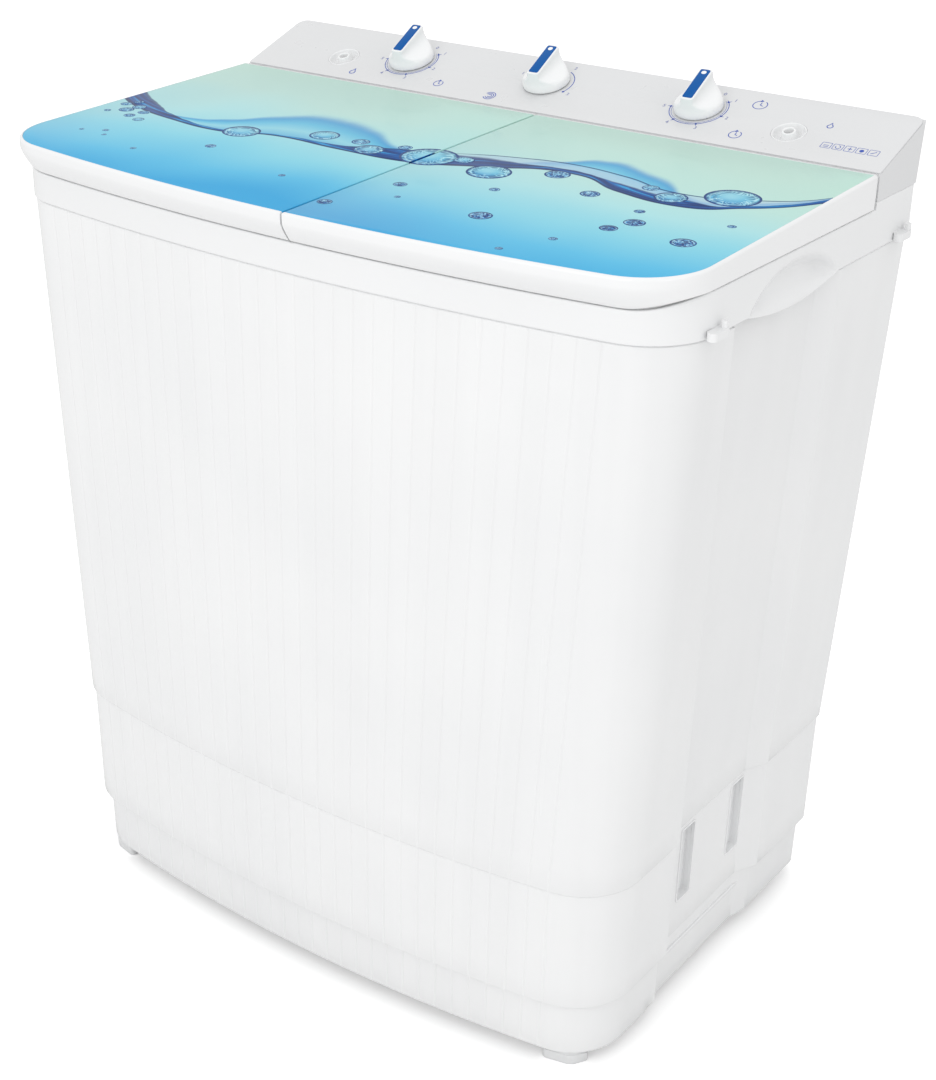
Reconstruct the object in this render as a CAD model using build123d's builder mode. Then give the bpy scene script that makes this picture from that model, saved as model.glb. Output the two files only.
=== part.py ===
from build123d import *
from collections import namedtuple
import math
import os

os.makedirs("parts", exist_ok=True)

# Twin tub washer: wash tub on the left, spin tub on the right, console at the
# back. +X is the machine's right seen from the front, the front faces -Y and
# +Z is up. The origin is on the floor, under the centre of the machine.
# All sizes in millimetres.

# ---------------------------------------------------------------- dimensions
# heights
foot_h = 15.0
floor_under = 56.0       # underside of the base floor
floor_z = 60.0           # top of the base floor
plinth_top = 75.0
base_top = 204.0         # joint between base and body shell
belt_z = 240.0           # middle of the drive belt
tub_floor = 330.0        # underside of both tubs
body_top = 734.0         # joint between body shell and top frame
deck_z = 773.0           # top of the frame deck, under the lids
tub_rim = deck_z - 4.0
platform_z = 780.0       # rear platform under the console
lid_gap = 1.0            # under the lid skirts

# casing
wall = 3.0
back_y = 240.0           # back of the frame and console
bow = 31.0               # how far the front face bows out in the middle
lid_w = 740.0            # over both lids
frame_w = 738.0          # top frame and console
recess_depth = 12.0      # of the upright recess in each side
recess_run = 26.0        # length of its slanted rear end

# console and lids
console_y = 146.6        # console front wall
console_z0 = 806.0       # front edge of the console slope
console_z1 = 839.0       # back edge of the console slope
console_back = 238.0
lid_y0, lid_z0 = -209.0, 791.5   # top of the lid at the front corners
lid_z1 = 806.0                   # top of the lid, carried back to console_y
lid_back_y = 143.5
glass_t = 4.0
seam_x = 9.0             # between the two lids
hinge_y, hinge_z = 136.0, 796.4
pin_r = 2.5
ear_w = 8.0
lid_ears = {"wash": (-338, -26), "spin": (44, 338)}   # x of the hinge ears
knob_s = 52.5            # distance of the dial centres up the console slope
well_s = 38.7            # the same for the inlet wells
knob_x = {"wash": -185.0, "mode": -16.0, "spin": 158.0}
well_x = {"wash": -266.0, "spin": 260.0}

# tubs and drive, in plan
wash_x, tub_y = -178.0, -28.0
spin_x = 183.0
wash_centre = (wash_x, tub_y)
spin_centre = (spin_x, tub_y)
wash_motor_x, wash_motor_y = -45.0, 95.0
motor_centre = (wash_motor_x, wash_motor_y)
spin_tub_r = 140.0
basket_r = 112.0
pulley_r, motor_pulley_r = 70.0, 24.0
wash_shaft_r, motor_shaft_r, spin_shaft_r = 7.0, 6.0, 8.0
mount_r = 68.0           # circle of the three spin motor springs

# drain and cord
valve_x, valve_y = -285, 48
valve_centre = (valve_x, valve_y)
nipple_z = 292           # side outlet of the drain valve
outlet_z = 110           # drain outlet in the back wall
outlet_point = (valve_x, outlet_z)
cord_x, cord_z = 290, 130

# screws of the rear panel
panel_z = 390
screw_span_x, screw_span_z = 492, 322

slope = math.atan((console_z1 - console_z0) / (console_back - console_y))
slope_len = math.hypot(console_z1 - console_z0, console_back - console_y)
lid_slope = math.atan((lid_z1 - lid_z0) / (console_y - lid_y0))
console_plane = Plane(origin=(0, console_y, console_z0), x_dir=(1, 0, 0),
                      z_dir=(0, -math.sin(slope), math.cos(slope)))
lid_plane = Plane(origin=(0, console_y, lid_z1), x_dir=(1, 0, 0),
                  z_dir=(0, -math.sin(lid_slope), math.cos(lid_slope)))
knob_points = [(x, knob_s) for x in knob_x.values()]
well_points = [(x, well_s) for x in well_x.values()]

CUT = Mode.SUBTRACT


# ---------------------------------------------------------------- helpers
def at_x(x):
    """Upright plane at x: sketch axes Y and Z, facing +X."""
    return Plane.YZ.offset(x)


def at_y(y):
    """Upright plane at y: sketch axes X and Z, facing the front (-Y)."""
    return Plane.XZ.offset(-y)


def at_z(z):
    """Level plane at z: sketch axes X and Y, facing up."""
    return Plane.XY.offset(z)


def start_plane(path):
    """Plane square to the start of a path."""
    return Plane(origin=path @ 0, z_dir=path % 0)


def discs(plane, points, radius, amount, mode=Mode.ADD, taper=0):
    """Extrude equal circles into the open part.

    The sketch is handed to extrude, as it can't join a part opened elsewhere.
    """
    with BuildSketch(plane) as circles:
        with Locations(*points):
            Circle(radius)
    extrude(circles.sketch, amount=amount, taper=taper, mode=mode)


def save(builder, name):
    builder.part.label = name
    export_step(builder.part, "parts/" + name + ".step")


# ---------------------------------------------------------------- casing outlines
# Plan of the casing at one height. front and back are the y of the front
# corners and the back; bow is how far the front arc stands out beyond them.
Outline = namedtuple("Outline", "z width front back bow front_radius back_radius")

plinth_low = Outline(foot_h, 652.0, -189.0, 232.0, 30.0, 60.0, 14.0)
plinth_high = Outline(plinth_top, 654.0, -190.0, 233.0, 30.0, 60.0, 14.0)
base_low = Outline(plinth_top, 669.0, -195.0, 235.0, 33.0, 66.0, 16.0)
base_high = Outline(base_top, 672.0, -196.0, 236.0, 33.0, 66.0, 16.0)
body_low = Outline(base_top, 676.0, -198.0, 237.0, 33.0, 66.0, 16.0)
body_high = Outline(body_top, 735.0, -196.0, 237.0, 31.0, 66.0, 16.0)
frame_outline = Outline(body_top, frame_w, -197.0, back_y, bow, 66.0, 16.0)
lid_outline = Outline(deck_z + lid_gap, lid_w, lid_y0, lid_back_y, bow, 66.0, 4.0)

# Side recess at the bottom and top of each casing part: (width, y front, y back)
base_recess = ((base_low.width, -72, 112), (base_high.width, -70, 108))
body_recess = ((body_low.width, -70, 106), (body_high.width, -104, 90))


def outline(spec):
    """Plan outline of the machine: bowed front, round corners."""
    half, front, back = spec.width / 2, spec.front, spec.back
    with BuildSketch(at_z(spec.z)) as plan:
        with BuildLine():
            Polyline((half, front), (half, back), (-half, back), (-half, front))
            ThreePointArc((-half, front), (0, front - spec.bow), (half, front))
        make_face()
        front_corners = plan.vertices().group_by(Axis.Y)[0]
        back_corners = plan.vertices().group_by(Axis.Y)[-1]
        fillet(front_corners, spec.front_radius)
        fillet(back_corners, spec.back_radius)
    return plan.sketch


def inset(spec, t):
    """The outline moved in by t all round."""
    return spec._replace(width=spec.width - 2 * t, front=spec.front + t, back=spec.back - t,
                         front_radius=spec.front_radius - t,
                         back_radius=max(spec.back_radius - t, 2))


def channel(z, width, y0, y1, deep):
    """Plan section of the right side's recess at one height."""
    x0, x1 = width / 2 - deep, width / 2 + 6
    with BuildSketch(at_z(z)) as section:
        with BuildLine():
            Polyline((x1, y0 - 1), (x0, y0 + 3), (x0, y1 - recess_run), (width / 2, y1),
                     (x1, y1 + 3), close=True)
        make_face()
    return section.sketch


def side_recesses(z0, z1, recess, margin=0.0):
    """Solid filling the recesses of both sides, grown by a margin."""
    sections = [channel(z, width, y0 - margin, y1 + margin, recess_depth + margin)
                for z, (width, y0, y1) in zip((z0, z1), recess)]
    with BuildPart() as both:
        loft(sections=sections)
        mirror(about=Plane.YZ)
    return both.part


def casing_core(low, high, pockets):
    """Hollow inside a casing part, kept a wall away from its recesses."""
    sections = [outline(inset(low, wall)), outline(inset(high, wall))]
    with BuildPart() as core:
        loft(sections=sections)
        add(pockets, mode=CUT)
    return core.part


# ---------------------------------------------------------------- base
base_channels = side_recesses(plinth_top - 20, base_top + 2, base_recess)
base_pockets = side_recesses(plinth_top + 3, base_top + 4, base_recess, wall)
base_core = casing_core(base_low, base_high._replace(z=base_top + 1), base_pockets)
with BuildPart() as base:
    loft(sections=[outline(plinth_low), outline(plinth_high)])
    loft(sections=[outline(base_low), outline(base_high)])
    add(base_channels, mode=CUT)
    add(base_core, mode=CUT)
    # hollow below the floor
    with BuildSketch(at_z(foot_h)):
        add(outline(inset(plinth_low, 4.0)).face())
    extrude(amount=floor_under - foot_h, mode=CUT)
    # ribs under the floor
    with BuildSketch(at_z(foot_h)):
        for rib_x in (-220, -110, 0, 110, 220):
            with Locations((rib_x, 10)):
                Rectangle(3, 410)
        with Locations((0, -90), (0, 110)):
            Rectangle(636, 3)
    extrude(amount=floor_under - foot_h + 1)
    # rings of cooling openings by both motors
    with BuildSketch(at_z(foot_h - 1)):
        with Locations((wash_motor_x + 20, wash_motor_y - 25), (spin_x - 20, tub_y + 25)):
            with PolarLocations(17, 6):
                Circle(5)
    extrude(amount=70, mode=CUT)
    # clear the plinth above the floor
    with BuildSketch(at_z(floor_z)):
        add(outline(inset(plinth_low, 6.0)).face())
    extrude(amount=plinth_top - floor_z + 0.1, mode=CUT)
    # tall slots in the recess of each side, cut right across
    with BuildSketch(at_x(-345)):
        with Locations((-28, 155), (71, 155)):
            Rectangle(24, 82)
    extrude(amount=690, mode=CUT)
    # drain outlet and cord holes in the back wall
    with BuildSketch(at_y(243)):
        with Locations(outlet_point):
            Circle(13.2)
        with Locations((cord_x, cord_z)):
            Circle(7.0)
    extrude(amount=30, mode=CUT)
save(base, "base")

# ---------------------------------------------------------------- feet
foot_points = ((-290, -180), (290, -180), (-290, 205), (290, 205))
foot_neck_h = 5
with BuildPart() as feet:
    with BuildSketch():
        with Locations(*foot_points):
            RectangleRounded(40, 26, 6)
    extrude(amount=foot_h - foot_neck_h, taper=-3)
    with BuildSketch(at_z(foot_h - foot_neck_h)):
        with Locations(*foot_points):
            RectangleRounded(36, 20, 4)
    extrude(amount=foot_neck_h)
save(feet, "rubber_feet")


# ---------------------------------------------------------------- body shell
def screw_circles(radius):
    """Circles at the four rear panel screws, in the open sketch."""
    with Locations((0, panel_z)):
        with GridLocations(screw_span_x, screw_span_z, 2, 2):
            Circle(radius)


body_channels = side_recesses(base_top - 2, body_top + 2, body_recess)
body_pockets = side_recesses(base_top - 4, body_top + 4, body_recess, wall)
body_core = casing_core(body_low._replace(z=base_top - 1),
                        body_high._replace(z=body_top + 1), body_pockets)
with BuildPart() as body_shell:
    loft(sections=[outline(body_low), outline(body_high)])
    add(body_channels, mode=CUT)
    # service opening in the back, with its screw holes
    with BuildSketch(at_y(243)):
        with Locations((0, panel_z)):
            RectangleRounded(470, 300, 12)
    extrude(amount=20, mode=CUT)
    with BuildSketch(at_y(243)):
        screw_circles(2.0)
    extrude(amount=20, mode=CUT)
    add(body_core, mode=CUT)
save(body_shell, "body_shell")

# ---------------------------------------------------------------- rear panel
with BuildPart() as rear_panel:
    with BuildSketch(at_y(239)):
        with Locations((0, panel_z)):
            RectangleRounded(screw_span_x + 20, screw_span_z + 20, 14)
    extrude(amount=2)
    # louvres and screw holes
    with BuildSketch(at_y(240)):
        with Locations((0, panel_z)):
            with GridLocations(150, 16, 3, 13):
                SlotOverall(120, 6)
        screw_circles(2.2)
    extrude(amount=4, mode=CUT)
save(rear_panel, "rear_panel")

with BuildPart() as rear_screws:
    # heads
    with BuildSketch(at_y(240)):
        screw_circles(4.0)
    extrude(amount=1)
    # shanks
    with BuildSketch(at_y(240)):
        screw_circles(1.9)
    extrude(amount=9)
save(rear_screws, "rear_panel_screws")

# ---------------------------------------------------------------- top frame
grip_y = -3              # middle of the side grips
grip_x = 358.5           # inner face of the right grip
grip_reach = 41.5        # from that face out past the side
lip_y0, lip_y1 = grip_y - 85, grip_y + 85
lip_z = body_top + 0.5

# curved lips under the side grips, trimmed to the side recesses
with BuildPart() as grip_lips:
    with BuildSketch(at_x(354)):
        with BuildLine():
            Polyline((lip_y0, lip_z), (lip_y1, lip_z))
            ThreePointArc((lip_y1, lip_z), (grip_y, body_top - 11), (lip_y0, lip_z))
        make_face()
    extrude(amount=14)
    mirror(about=Plane.YZ)
    add(body_channels, mode=Mode.INTERSECT)

with BuildPart() as top_frame:
    extrude(to_extrude=outline(frame_outline).face(), amount=platform_z - body_top)
    # lower deck in front of the console platform
    with BuildSketch(at_z(deck_z)):
        with Locations((0, console_y - 300)):
            Rectangle(800, 600)
    extrude(amount=40, mode=CUT)
    # hollow below the deck
    with BuildSketch(at_z(body_top - 1)):
        add(outline(inset(frame_outline, 3.5)).face())
    extrude(amount=deck_z - 4 - body_top + 1, mode=CUT)
    # solid pads behind the side grips
    with BuildSketch(at_z(body_top)):
        with Locations((-360, grip_y), (360, grip_y)):
            Rectangle(16, 210)
    extrude(amount=deck_z - 2 - body_top)
    # side grips: shallow scoops open at the bottom edge
    for scoop_x in (-grip_x - grip_reach, grip_x):
        with BuildSketch(at_x(scoop_x)):
            with Locations((grip_y, body_top - 40)):
                Ellipse(98, 74)
        extrude(amount=grip_reach, mode=CUT)
    # wash tub opening
    with BuildSketch(at_z(body_top)):
        with Locations(wash_centre):
            RectangleRounded(322, 280, 48)
    extrude(amount=60, mode=CUT)
    # spin tub opening
    discs(at_z(body_top), [spin_centre], spin_tub_r - 10, 60, CUT)
    # service opening under the console
    with BuildSketch(at_z(body_top)):
        with Locations((0, 198)):
            RectangleRounded(640, 52, 10)
    extrude(amount=60, mode=CUT)
    # hinge ears for both lids
    for ear_x in lid_ears["wash"] + lid_ears["spin"]:
        with BuildSketch(at_x(ear_x - ear_w / 2)):
            with Locations((hinge_y, hinge_z)):
                Circle(4.6)
            with Locations((hinge_y, (hinge_z + deck_z) / 2 - 1)):
                Rectangle(5, hinge_z - deck_z + 2)
        extrude(amount=ear_w)
        discs(at_x(ear_x - ear_w / 2 - 1), [(hinge_y, hinge_z)], pin_r + 0.06, ear_w + 2, CUT)
    add(grip_lips.part)
save(top_frame, "top_frame")

# ---------------------------------------------------------------- hose clips
# two on each side; each is an arm with an upright nub at its rear end
with BuildPart() as clips:
    for clip_y in (-146, 202):
        with BuildSketch(at_z(body_top + 1)):
            with Locations((373.6, clip_y)):
                SlotOverall(26, 9.2, rotation=90)
        extrude(amount=7)
        with BuildSketch(at_z(body_top + 8)):
            with Locations((375.2, clip_y + 8)):
                RectangleRounded(4.5, 6, 1.5)
        extrude(amount=6)
    # trim flush with the side of the frame
    with BuildSketch(at_z(body_top - 5)):
        Rectangle(frame_w, 600)
    extrude(amount=40, mode=CUT)
    mirror(about=Plane.YZ)
save(clips, "hose_clips")

# ---------------------------------------------------------------- console
control_hole_r = 5.0
well_hole_r = 16.8
fascia_t = 2

with BuildPart() as console_core:
    with BuildSketch(at_x(-frame_w / 2 + wall)):
        with BuildLine():
            Polyline((console_y + wall, platform_z - 1), (console_y + wall, console_z0 - 4.6),
                     (console_back - 2, console_z1 - 5.9), (back_y - wall, console_z1 - 8),
                     (back_y - wall, platform_z - 1), close=True)
        make_face()
    extrude(amount=frame_w - 2 * wall)

with BuildPart() as console_housing:
    with BuildSketch(at_x(-frame_w / 2)):
        with BuildLine():
            Polyline((console_y, platform_z), (console_y, console_z0),
                     (console_back, console_z1), (back_y, console_z1 - 2),
                     (back_y, platform_z), close=True)
        make_face()
    extrude(amount=frame_w)
    fillet(console_housing.edges().filter_by(Axis.Z).group_by(Axis.Y)[-1], 12)
    add(console_core.part, mode=CUT)
    # seat for the fascia
    with BuildSketch(console_plane.offset(-fascia_t)):
        with Locations((0, slope_len / 2)):
            RectangleRounded(722, slope_len - 9, 5)
    extrude(amount=5, mode=CUT)
    # dial shaft holes and inlet wells
    with BuildSketch(console_plane.offset(-10)):
        with Locations(*knob_points):
            Circle(control_hole_r)
        with Locations(*well_points):
            Circle(well_hole_r)
    extrude(amount=15, mode=CUT)
save(console_housing, "console_housing")

with BuildPart() as fascia:
    with BuildSketch(console_plane.offset(-fascia_t)):
        with Locations((0, slope_len / 2)):
            RectangleRounded(721, slope_len - 10, 4.5)
    extrude(amount=fascia_t)
    with BuildSketch(console_plane.offset(-fascia_t - 1)):
        with Locations(*knob_points):
            Circle(control_hole_r)
        with Locations(*well_points):
            Circle(well_hole_r)
    extrude(amount=5, mode=CUT)
save(fascia, "console_fascia")

# water inlet wells: a cup with a spigot through its floor, nipple below
with BuildPart() as inlets:
    discs(console_plane.offset(-14), well_points, 16.6, 14)
    discs(console_plane.offset(-11.5), well_points, 14.8, 12, CUT)
    discs(console_plane.offset(-22), well_points, 6.5, 23.5)
    discs(console_plane.offset(-23), well_points, 4.5, 30, CUT)
save(inlets, "water_inlets")

# filling tubes from the inlets down and forward over the tub rims
tube_start = console_plane.offset(-22.2)
with BuildPart() as tubes:
    for side, end_x in (("wash", -240.0), ("spin", 225.0)):
        start = tuple(tube_start.from_local_coords(Vector(well_x[side], well_s, 0)))
        with BuildLine() as tube_path:
            Spline(start, (end_x, start[1] - 4, 752), (end_x, 136, 748),
                   tangents=(tuple(-console_plane.z_dir), (0, -1, 0)))
        with BuildSketch(start_plane(tube_path.line)):
            Circle(7.5)
            Circle(5.5, mode=CUT)
        sweep()
save(tubes, "fill_tubes")

# ---------------------------------------------------------------- timers, selector
case_gap = 6.0           # from the console surface down to the case
dial_shaft_r = 3.0
dial_shaft_bottom = -25
ridge_w = 13.0


def make_case(centre, size, deep):
    """Square case under the console, with two terminal tabs below."""
    with BuildPart() as case:
        with BuildSketch(console_plane.offset(-case_gap - deep)):
            with Locations(centre):
                RectangleRounded(size, size, 4)
        extrude(amount=deep)
        discs(console_plane.offset(dial_shaft_bottom - 1), [centre],
              dial_shaft_r + 0.05, 30, CUT)
        with BuildSketch(console_plane.offset(-case_gap - deep - 6)):
            with Locations((centre[0] - 8, centre[1]), (centre[0] + 8, centre[1])):
                Rectangle(1, 6)
        extrude(amount=6)
    return case


def make_dial_shaft(centre):
    with BuildPart() as shaft:
        discs(console_plane.offset(dial_shaft_bottom), [centre], dial_shaft_r, 36)
    return shaft


def make_knob(centre, ridge_plane):
    """Round skirt with a grip ridge across it, taller at the pointer end."""
    with BuildPart() as knob:
        discs(console_plane.offset(1.0), [centre], 24, 9, taper=6)
        with BuildSketch(ridge_plane):
            with BuildLine():
                Polyline((-22.5, 8), (-20.5, 22), (21.5, 30), (24, 28), (22.5, 8), close=True)
            make_face()
        extrude(amount=ridge_w)
        discs(console_plane, [centre], dial_shaft_r + 0.02, 11.2, CUT)
        # groove for the coloured insert
        with BuildSketch(ridge_plane.offset(3.0)):
            with BuildLine():
                Polyline((-18.5, 21.38), (-18.5, 26), (26, 34), (26, 29.86), close=True)
            make_face()
        extrude(amount=ridge_w - 2 * 3.0, mode=CUT)
    return knob


def make_knob_insert(ridge_plane):
    with BuildPart() as insert:
        with BuildSketch(ridge_plane.offset(3.2)):
            with BuildLine():
                Polyline((-18.3, 21.5), (-18.3, 22.9), (23.2, 30.8), (23.2, 29.45), close=True)
            make_face()
        extrude(amount=ridge_w - 2 * 3.2)
    return insert


# key in knob_x, name of the case, stem of shaft and knob names, case size, case depth
controls = (
    ("wash", "wash_timer", "wash_timer", 50.0, 30.0),
    ("mode", "mode_switch", "mode", 38.0, 24.0),
    ("spin", "spin_timer", "spin_timer", 50.0, 30.0),
)
for key, case_name, stem, case_size, case_depth in controls:
    dial_x = knob_x[key]
    dial_centre = (dial_x, knob_s)
    # side of the ridge: sketch axes up the slope and out of it, facing +X
    ridge_side = Plane(
        origin=(dial_x - ridge_w / 2, console_y + knob_s * math.cos(slope),
                console_z0 + knob_s * math.sin(slope)),
        x_dir=(0, math.cos(slope), math.sin(slope)), z_dir=(1, 0, 0))
    save(make_case(dial_centre, case_size, case_depth), case_name)
    save(make_dial_shaft(dial_centre), stem + "_shaft")
    save(make_knob(dial_centre, ridge_side), stem + "_knob")
    save(make_knob_insert(ridge_side), key + "_knob_insert")

# ---------------------------------------------------------------- lids
pin_l = 21.0
lug_w = 5.0
skirt_z = deck_z + lid_gap
glass_inset = 3.0


def lid_slab(offset, thick):
    """Wide slab parallel to the lid top, starting at an offset from it."""
    with BuildPart() as slab:
        with BuildSketch(lid_plane.offset(offset)):
            Rectangle(900, 900)
        extrude(amount=thick)
    return slab.part


def outline_between(spec, x_lo, x_hi):
    """Plan outline cut to the range between two x values."""
    with BuildSketch(at_z(spec.z)) as plan:
        add(at_z(spec.z).to_local_coords(outline(spec)).face())
        with Locations(((x_lo + x_hi) / 2, 0)):
            Rectangle(x_hi - x_lo, 900, mode=Mode.INTERSECT)
    return plan.sketch


def lid_half(t, x_lo, x_hi, z):
    """Lid outline inset by t, cut to one side of the seam."""
    return outline_between(inset(lid_outline, t)._replace(z=z), x_lo, x_hi)


def make_lid(x_lo, x_hi, ears, seam_side):
    """Skirted lid frame; seam_side is 1 when the seam is at x_hi, -1 at x_lo."""
    at_lo, at_hi = seam_side < 0, seam_side > 0
    inner_lo = x_lo + wall * at_lo
    inner_hi = x_hi - wall * at_hi
    above = lid_slab(0, 60)
    under_top = lid_slab(-glass_t - 3, 90)
    back = lid_back_y
    with BuildPart() as cavity:
        extrude(to_extrude=lid_half(wall, inner_lo, inner_hi, deck_z - 2).face(), amount=60)
        add(under_top, mode=CUT)
    with BuildPart() as lid:
        # upright skirt with a level bottom and a sloping top
        extrude(to_extrude=lid_half(0, x_lo, x_hi, skirt_z).face(), amount=50)
        add(above, mode=CUT)
        add(cavity.part, mode=CUT)
        # rounded rear top edge and cleared rear bottom edge
        with BuildSketch(at_x(x_lo - 1)):
            with BuildLine():
                ThreePointArc((back - 4.5, 805.87), (back - 1.32, 804.55), (back + 0.01, 801.3))
                Polyline((back + 0.01, 801.3), (back + 3, 801.3), (back + 3, 809),
                         (back - 4.5, 809), (back - 4.5, 805.87))
            make_face()
            with BuildLine():
                Polyline((back - 4.2, 770), (back - 4.2, 778), (back + 1, 786),
                         (back + 1, 770), close=True)
            make_face()
        extrude(amount=x_hi - x_lo + 2, mode=CUT)
        # wall inside the cleared edge
        with BuildSketch(at_x(x_lo)):
            with BuildLine():
                Polyline((back - 7.2, 774), (back - 7.2, 780), (back - 3, 788),
                         (back, 788), (back, 786), (back - 4.2, 778.2),
                         (back - 4.2, 774), close=True)
            make_face()
        extrude(amount=x_hi - x_lo)
        for ear_x in ears:
            # bearing lugs for the pin, either side of the ear
            for lug_x in (ear_x - pin_l / 2, ear_x + pin_l / 2 - lug_w):
                with BuildSketch(at_x(lug_x)):
                    with BuildLine():
                        Polyline((hinge_y - 5, hinge_z - 5), (hinge_y + 5.4, hinge_z - 5),
                                 (hinge_y + 5.4, hinge_z + 3), (hinge_y - 5, hinge_z + 2.2),
                                 close=True)
                    make_face()
                    with Locations((hinge_y, hinge_z)):
                        Circle(pin_r + 0.01, mode=CUT)
                extrude(amount=lug_w)
            discs(at_x(ear_x - pin_l / 2), [(hinge_y, hinge_z)], pin_r + 0.01, pin_l, CUT)
            # clearance for the ear through the rear wall
            with BuildSketch(at_z(770)):
                with Locations((ear_x, hinge_y + 3)):
                    Rectangle(10.6, 18)
            extrude(amount=801.5 - 770, mode=CUT)
        # opening under the glass
        with BuildSketch(at_z(770)):
            add(at_z(770).to_local_coords(
                lid_half(24, inner_lo + 20 * at_lo, inner_hi - 20 * at_hi, 770)).face())
        extrude(amount=60, mode=CUT)
    return lid


def make_glass(x_lo, x_hi, seam_side):
    """Pane let into the top of the lid frame."""
    seam_gap = 1.2
    lo = x_lo + seam_gap * (seam_side < 0)
    hi = x_hi - seam_gap * (seam_side > 0)
    spec = Outline(760.0, lid_w - 2 * glass_inset, lid_y0 + glass_inset, lid_back_y - 5.0,
                   bow, lid_outline.front_radius - glass_inset, 4.0)
    above = lid_slab(0, 60)
    below = lid_slab(-glass_t - 80, 80)
    with BuildPart() as glass:
        with BuildSketch(at_z(spec.z)):
            add(at_z(spec.z).to_local_coords(outline(spec)).face())
            with Locations(((lo + hi) / 2, 0)):
                Rectangle(hi - lo, 900, mode=Mode.INTERSECT)
        extrude(amount=80)
        add(above, mode=CUT)
        add(below, mode=CUT)
    return glass


# name, x range, side of the seam
lids = (("wash", -380.0, seam_x - 1.0, 1), ("spin", seam_x + 1.0, 380.0, -1))
for name, lid_x0, lid_x1, seam_side in lids:
    glass = make_glass(lid_x0, lid_x1, seam_side)
    raw_lid = make_lid(lid_x0, lid_x1, lid_ears[name], seam_side)
    with BuildPart() as lid_frame:
        add(raw_lid.part)
        add(glass.part, mode=CUT)
    save(lid_frame, name + "_lid_frame")
    save(glass, name + "_lid_glass")
    with BuildPart() as pins:
        for ear_x in lid_ears[name]:
            discs(at_x(ear_x - pin_l / 2), [(hinge_y, hinge_z)], pin_r, pin_l)
    save(pins, name + "_lid_pins")


# ---------------------------------------------------------------- wash tub
def wash_plan(width, length, radius):
    """Round-cornered rectangle about the wash tub's centre, in the open sketch."""
    with Locations(wash_centre):
        RectangleRounded(width, length, radius)


with BuildPart() as tub_inner:
    with BuildSketch(at_z(tub_floor + wall)):
        wash_plan(286, 252, 70)
    with BuildSketch(at_z(tub_rim + 0.5)):
        wash_plan(322, 280, 48)
    loft()
with BuildPart() as wash_tub:
    with BuildSketch(at_z(tub_floor)):
        wash_plan(292, 258, 72)
    with BuildSketch(at_z(tub_rim)):
        wash_plan(328, 286, 51)
    loft()
    # rim flange
    with BuildSketch(at_z(tub_rim - 4)):
        wash_plan(346, 302, 58)
    extrude(amount=4)
    add(tub_inner.part, mode=CUT)
    # holes for the pulsator bearing and the drain
    with BuildSketch(at_z(tub_floor - 1)):
        with Locations(wash_centre):
            Circle(24.1)
        with Locations(valve_centre):
            Circle(11)
    extrude(amount=6, mode=CUT)
save(wash_tub, "wash_tub")

# lint filter, a framed net near the tub's rear wall
filter_centre = (wash_x, 600)
with BuildPart() as lint_filter:
    with BuildSketch(at_y(92)):
        with Locations(filter_centre):
            RectangleRounded(70, 150, 8)
            RectangleRounded(56, 136, 5, mode=CUT)
    extrude(amount=6)
    with BuildSketch(at_y(91)):
        with Locations(filter_centre):
            with GridLocations(11, 1, 5, 1):
                Rectangle(2, 138)
            with GridLocations(1, 14, 1, 9):
                Rectangle(58, 2)
    extrude(amount=2.5)
save(lint_filter, "lint_filter")

# ---------------------------------------------------------------- pulsator and drive
dish_r = 104
dish_under = 337
dish_top = 362           # at the centre
vane_count = 6
wash_shaft_z0, wash_shaft_z1 = 226, 349.8
pulley_h = 16
pulley_z0 = belt_z - pulley_h / 2

with BuildPart() as pulsator:
    with BuildSketch(at_y(tub_y)):
        with BuildLine():
            Polyline((wash_x, dish_under), (wash_x + 96, dish_under), (wash_x + dish_r, 341),
                     (wash_x + dish_r, 345))
            Spline((wash_x + dish_r, 345), (wash_x + 70, 344), (wash_x + 34, 350),
                   (wash_x, dish_top))
            Line((wash_x, dish_top), (wash_x, dish_under))
        make_face()
    revolve(axis=Axis((wash_x, tub_y, 0), (0, 0, 1)))
    for k in range(vane_count):
        angle = k * math.tau / vane_count
        vane_plane = Plane(origin=(wash_x, tub_y, 342),
                           x_dir=(math.cos(angle), math.sin(angle), 0), z_dir=(0, 0, 1))
        with BuildSketch(vane_plane):
            with Locations((60, 0)):
                SlotOverall(76, 12)
        extrude(amount=17, taper=10)
    discs(at_z(dish_under - 1), [wash_centre], wash_shaft_r + 0.02, 14, CUT)
save(pulsator, "pulsator")

with BuildPart() as pulsator_shaft:
    discs(at_z(wash_shaft_z0), [wash_centre], wash_shaft_r, wash_shaft_z1 - wash_shaft_z0)
save(pulsator_shaft, "pulsator_shaft")

with BuildPart() as wash_bearing:
    discs(at_z(264), [wash_centre], 24, 71)
    discs(at_z(tub_floor - 7), [wash_centre], 42, 7)
    discs(at_z(260), [wash_centre], wash_shaft_r + 0.05, 80, CUT)
save(wash_bearing, "wash_bearing_housing")


def grooved_pulley(x, y, radius, bore):
    """Pulley with a tapered belt groove, centred on the belt height."""
    z0, z1 = pulley_z0, pulley_z0 + pulley_h
    rim_x, groove_x = x + radius, x + radius - 6.5
    with BuildPart() as pulley:
        with BuildSketch(at_y(y)):
            with BuildLine():
                Polyline((x + bore, z0), (rim_x, z0), (rim_x, z0 + 2.5), (groove_x, z0 + 4.5),
                         (groove_x, z1 - 4.5), (rim_x, z1 - 2.5), (rim_x, z1),
                         (x + bore, z1), close=True)
            make_face()
        revolve(axis=Axis((x, y, 0), (0, 0, 1)))
    return pulley


plain_pulley = grooved_pulley(wash_x, tub_y, pulley_r, wash_shaft_r + 0.01)
with BuildPart() as drive_pulley:
    add(plain_pulley.part)
    # holes through the web
    with BuildSketch(at_z(pulley_z0 - 1)):
        with Locations(wash_centre):
            with PolarLocations(36, 6):
                Circle(13)
    extrude(amount=pulley_h + 2, mode=CUT)
save(drive_pulley, "drive_pulley")

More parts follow.
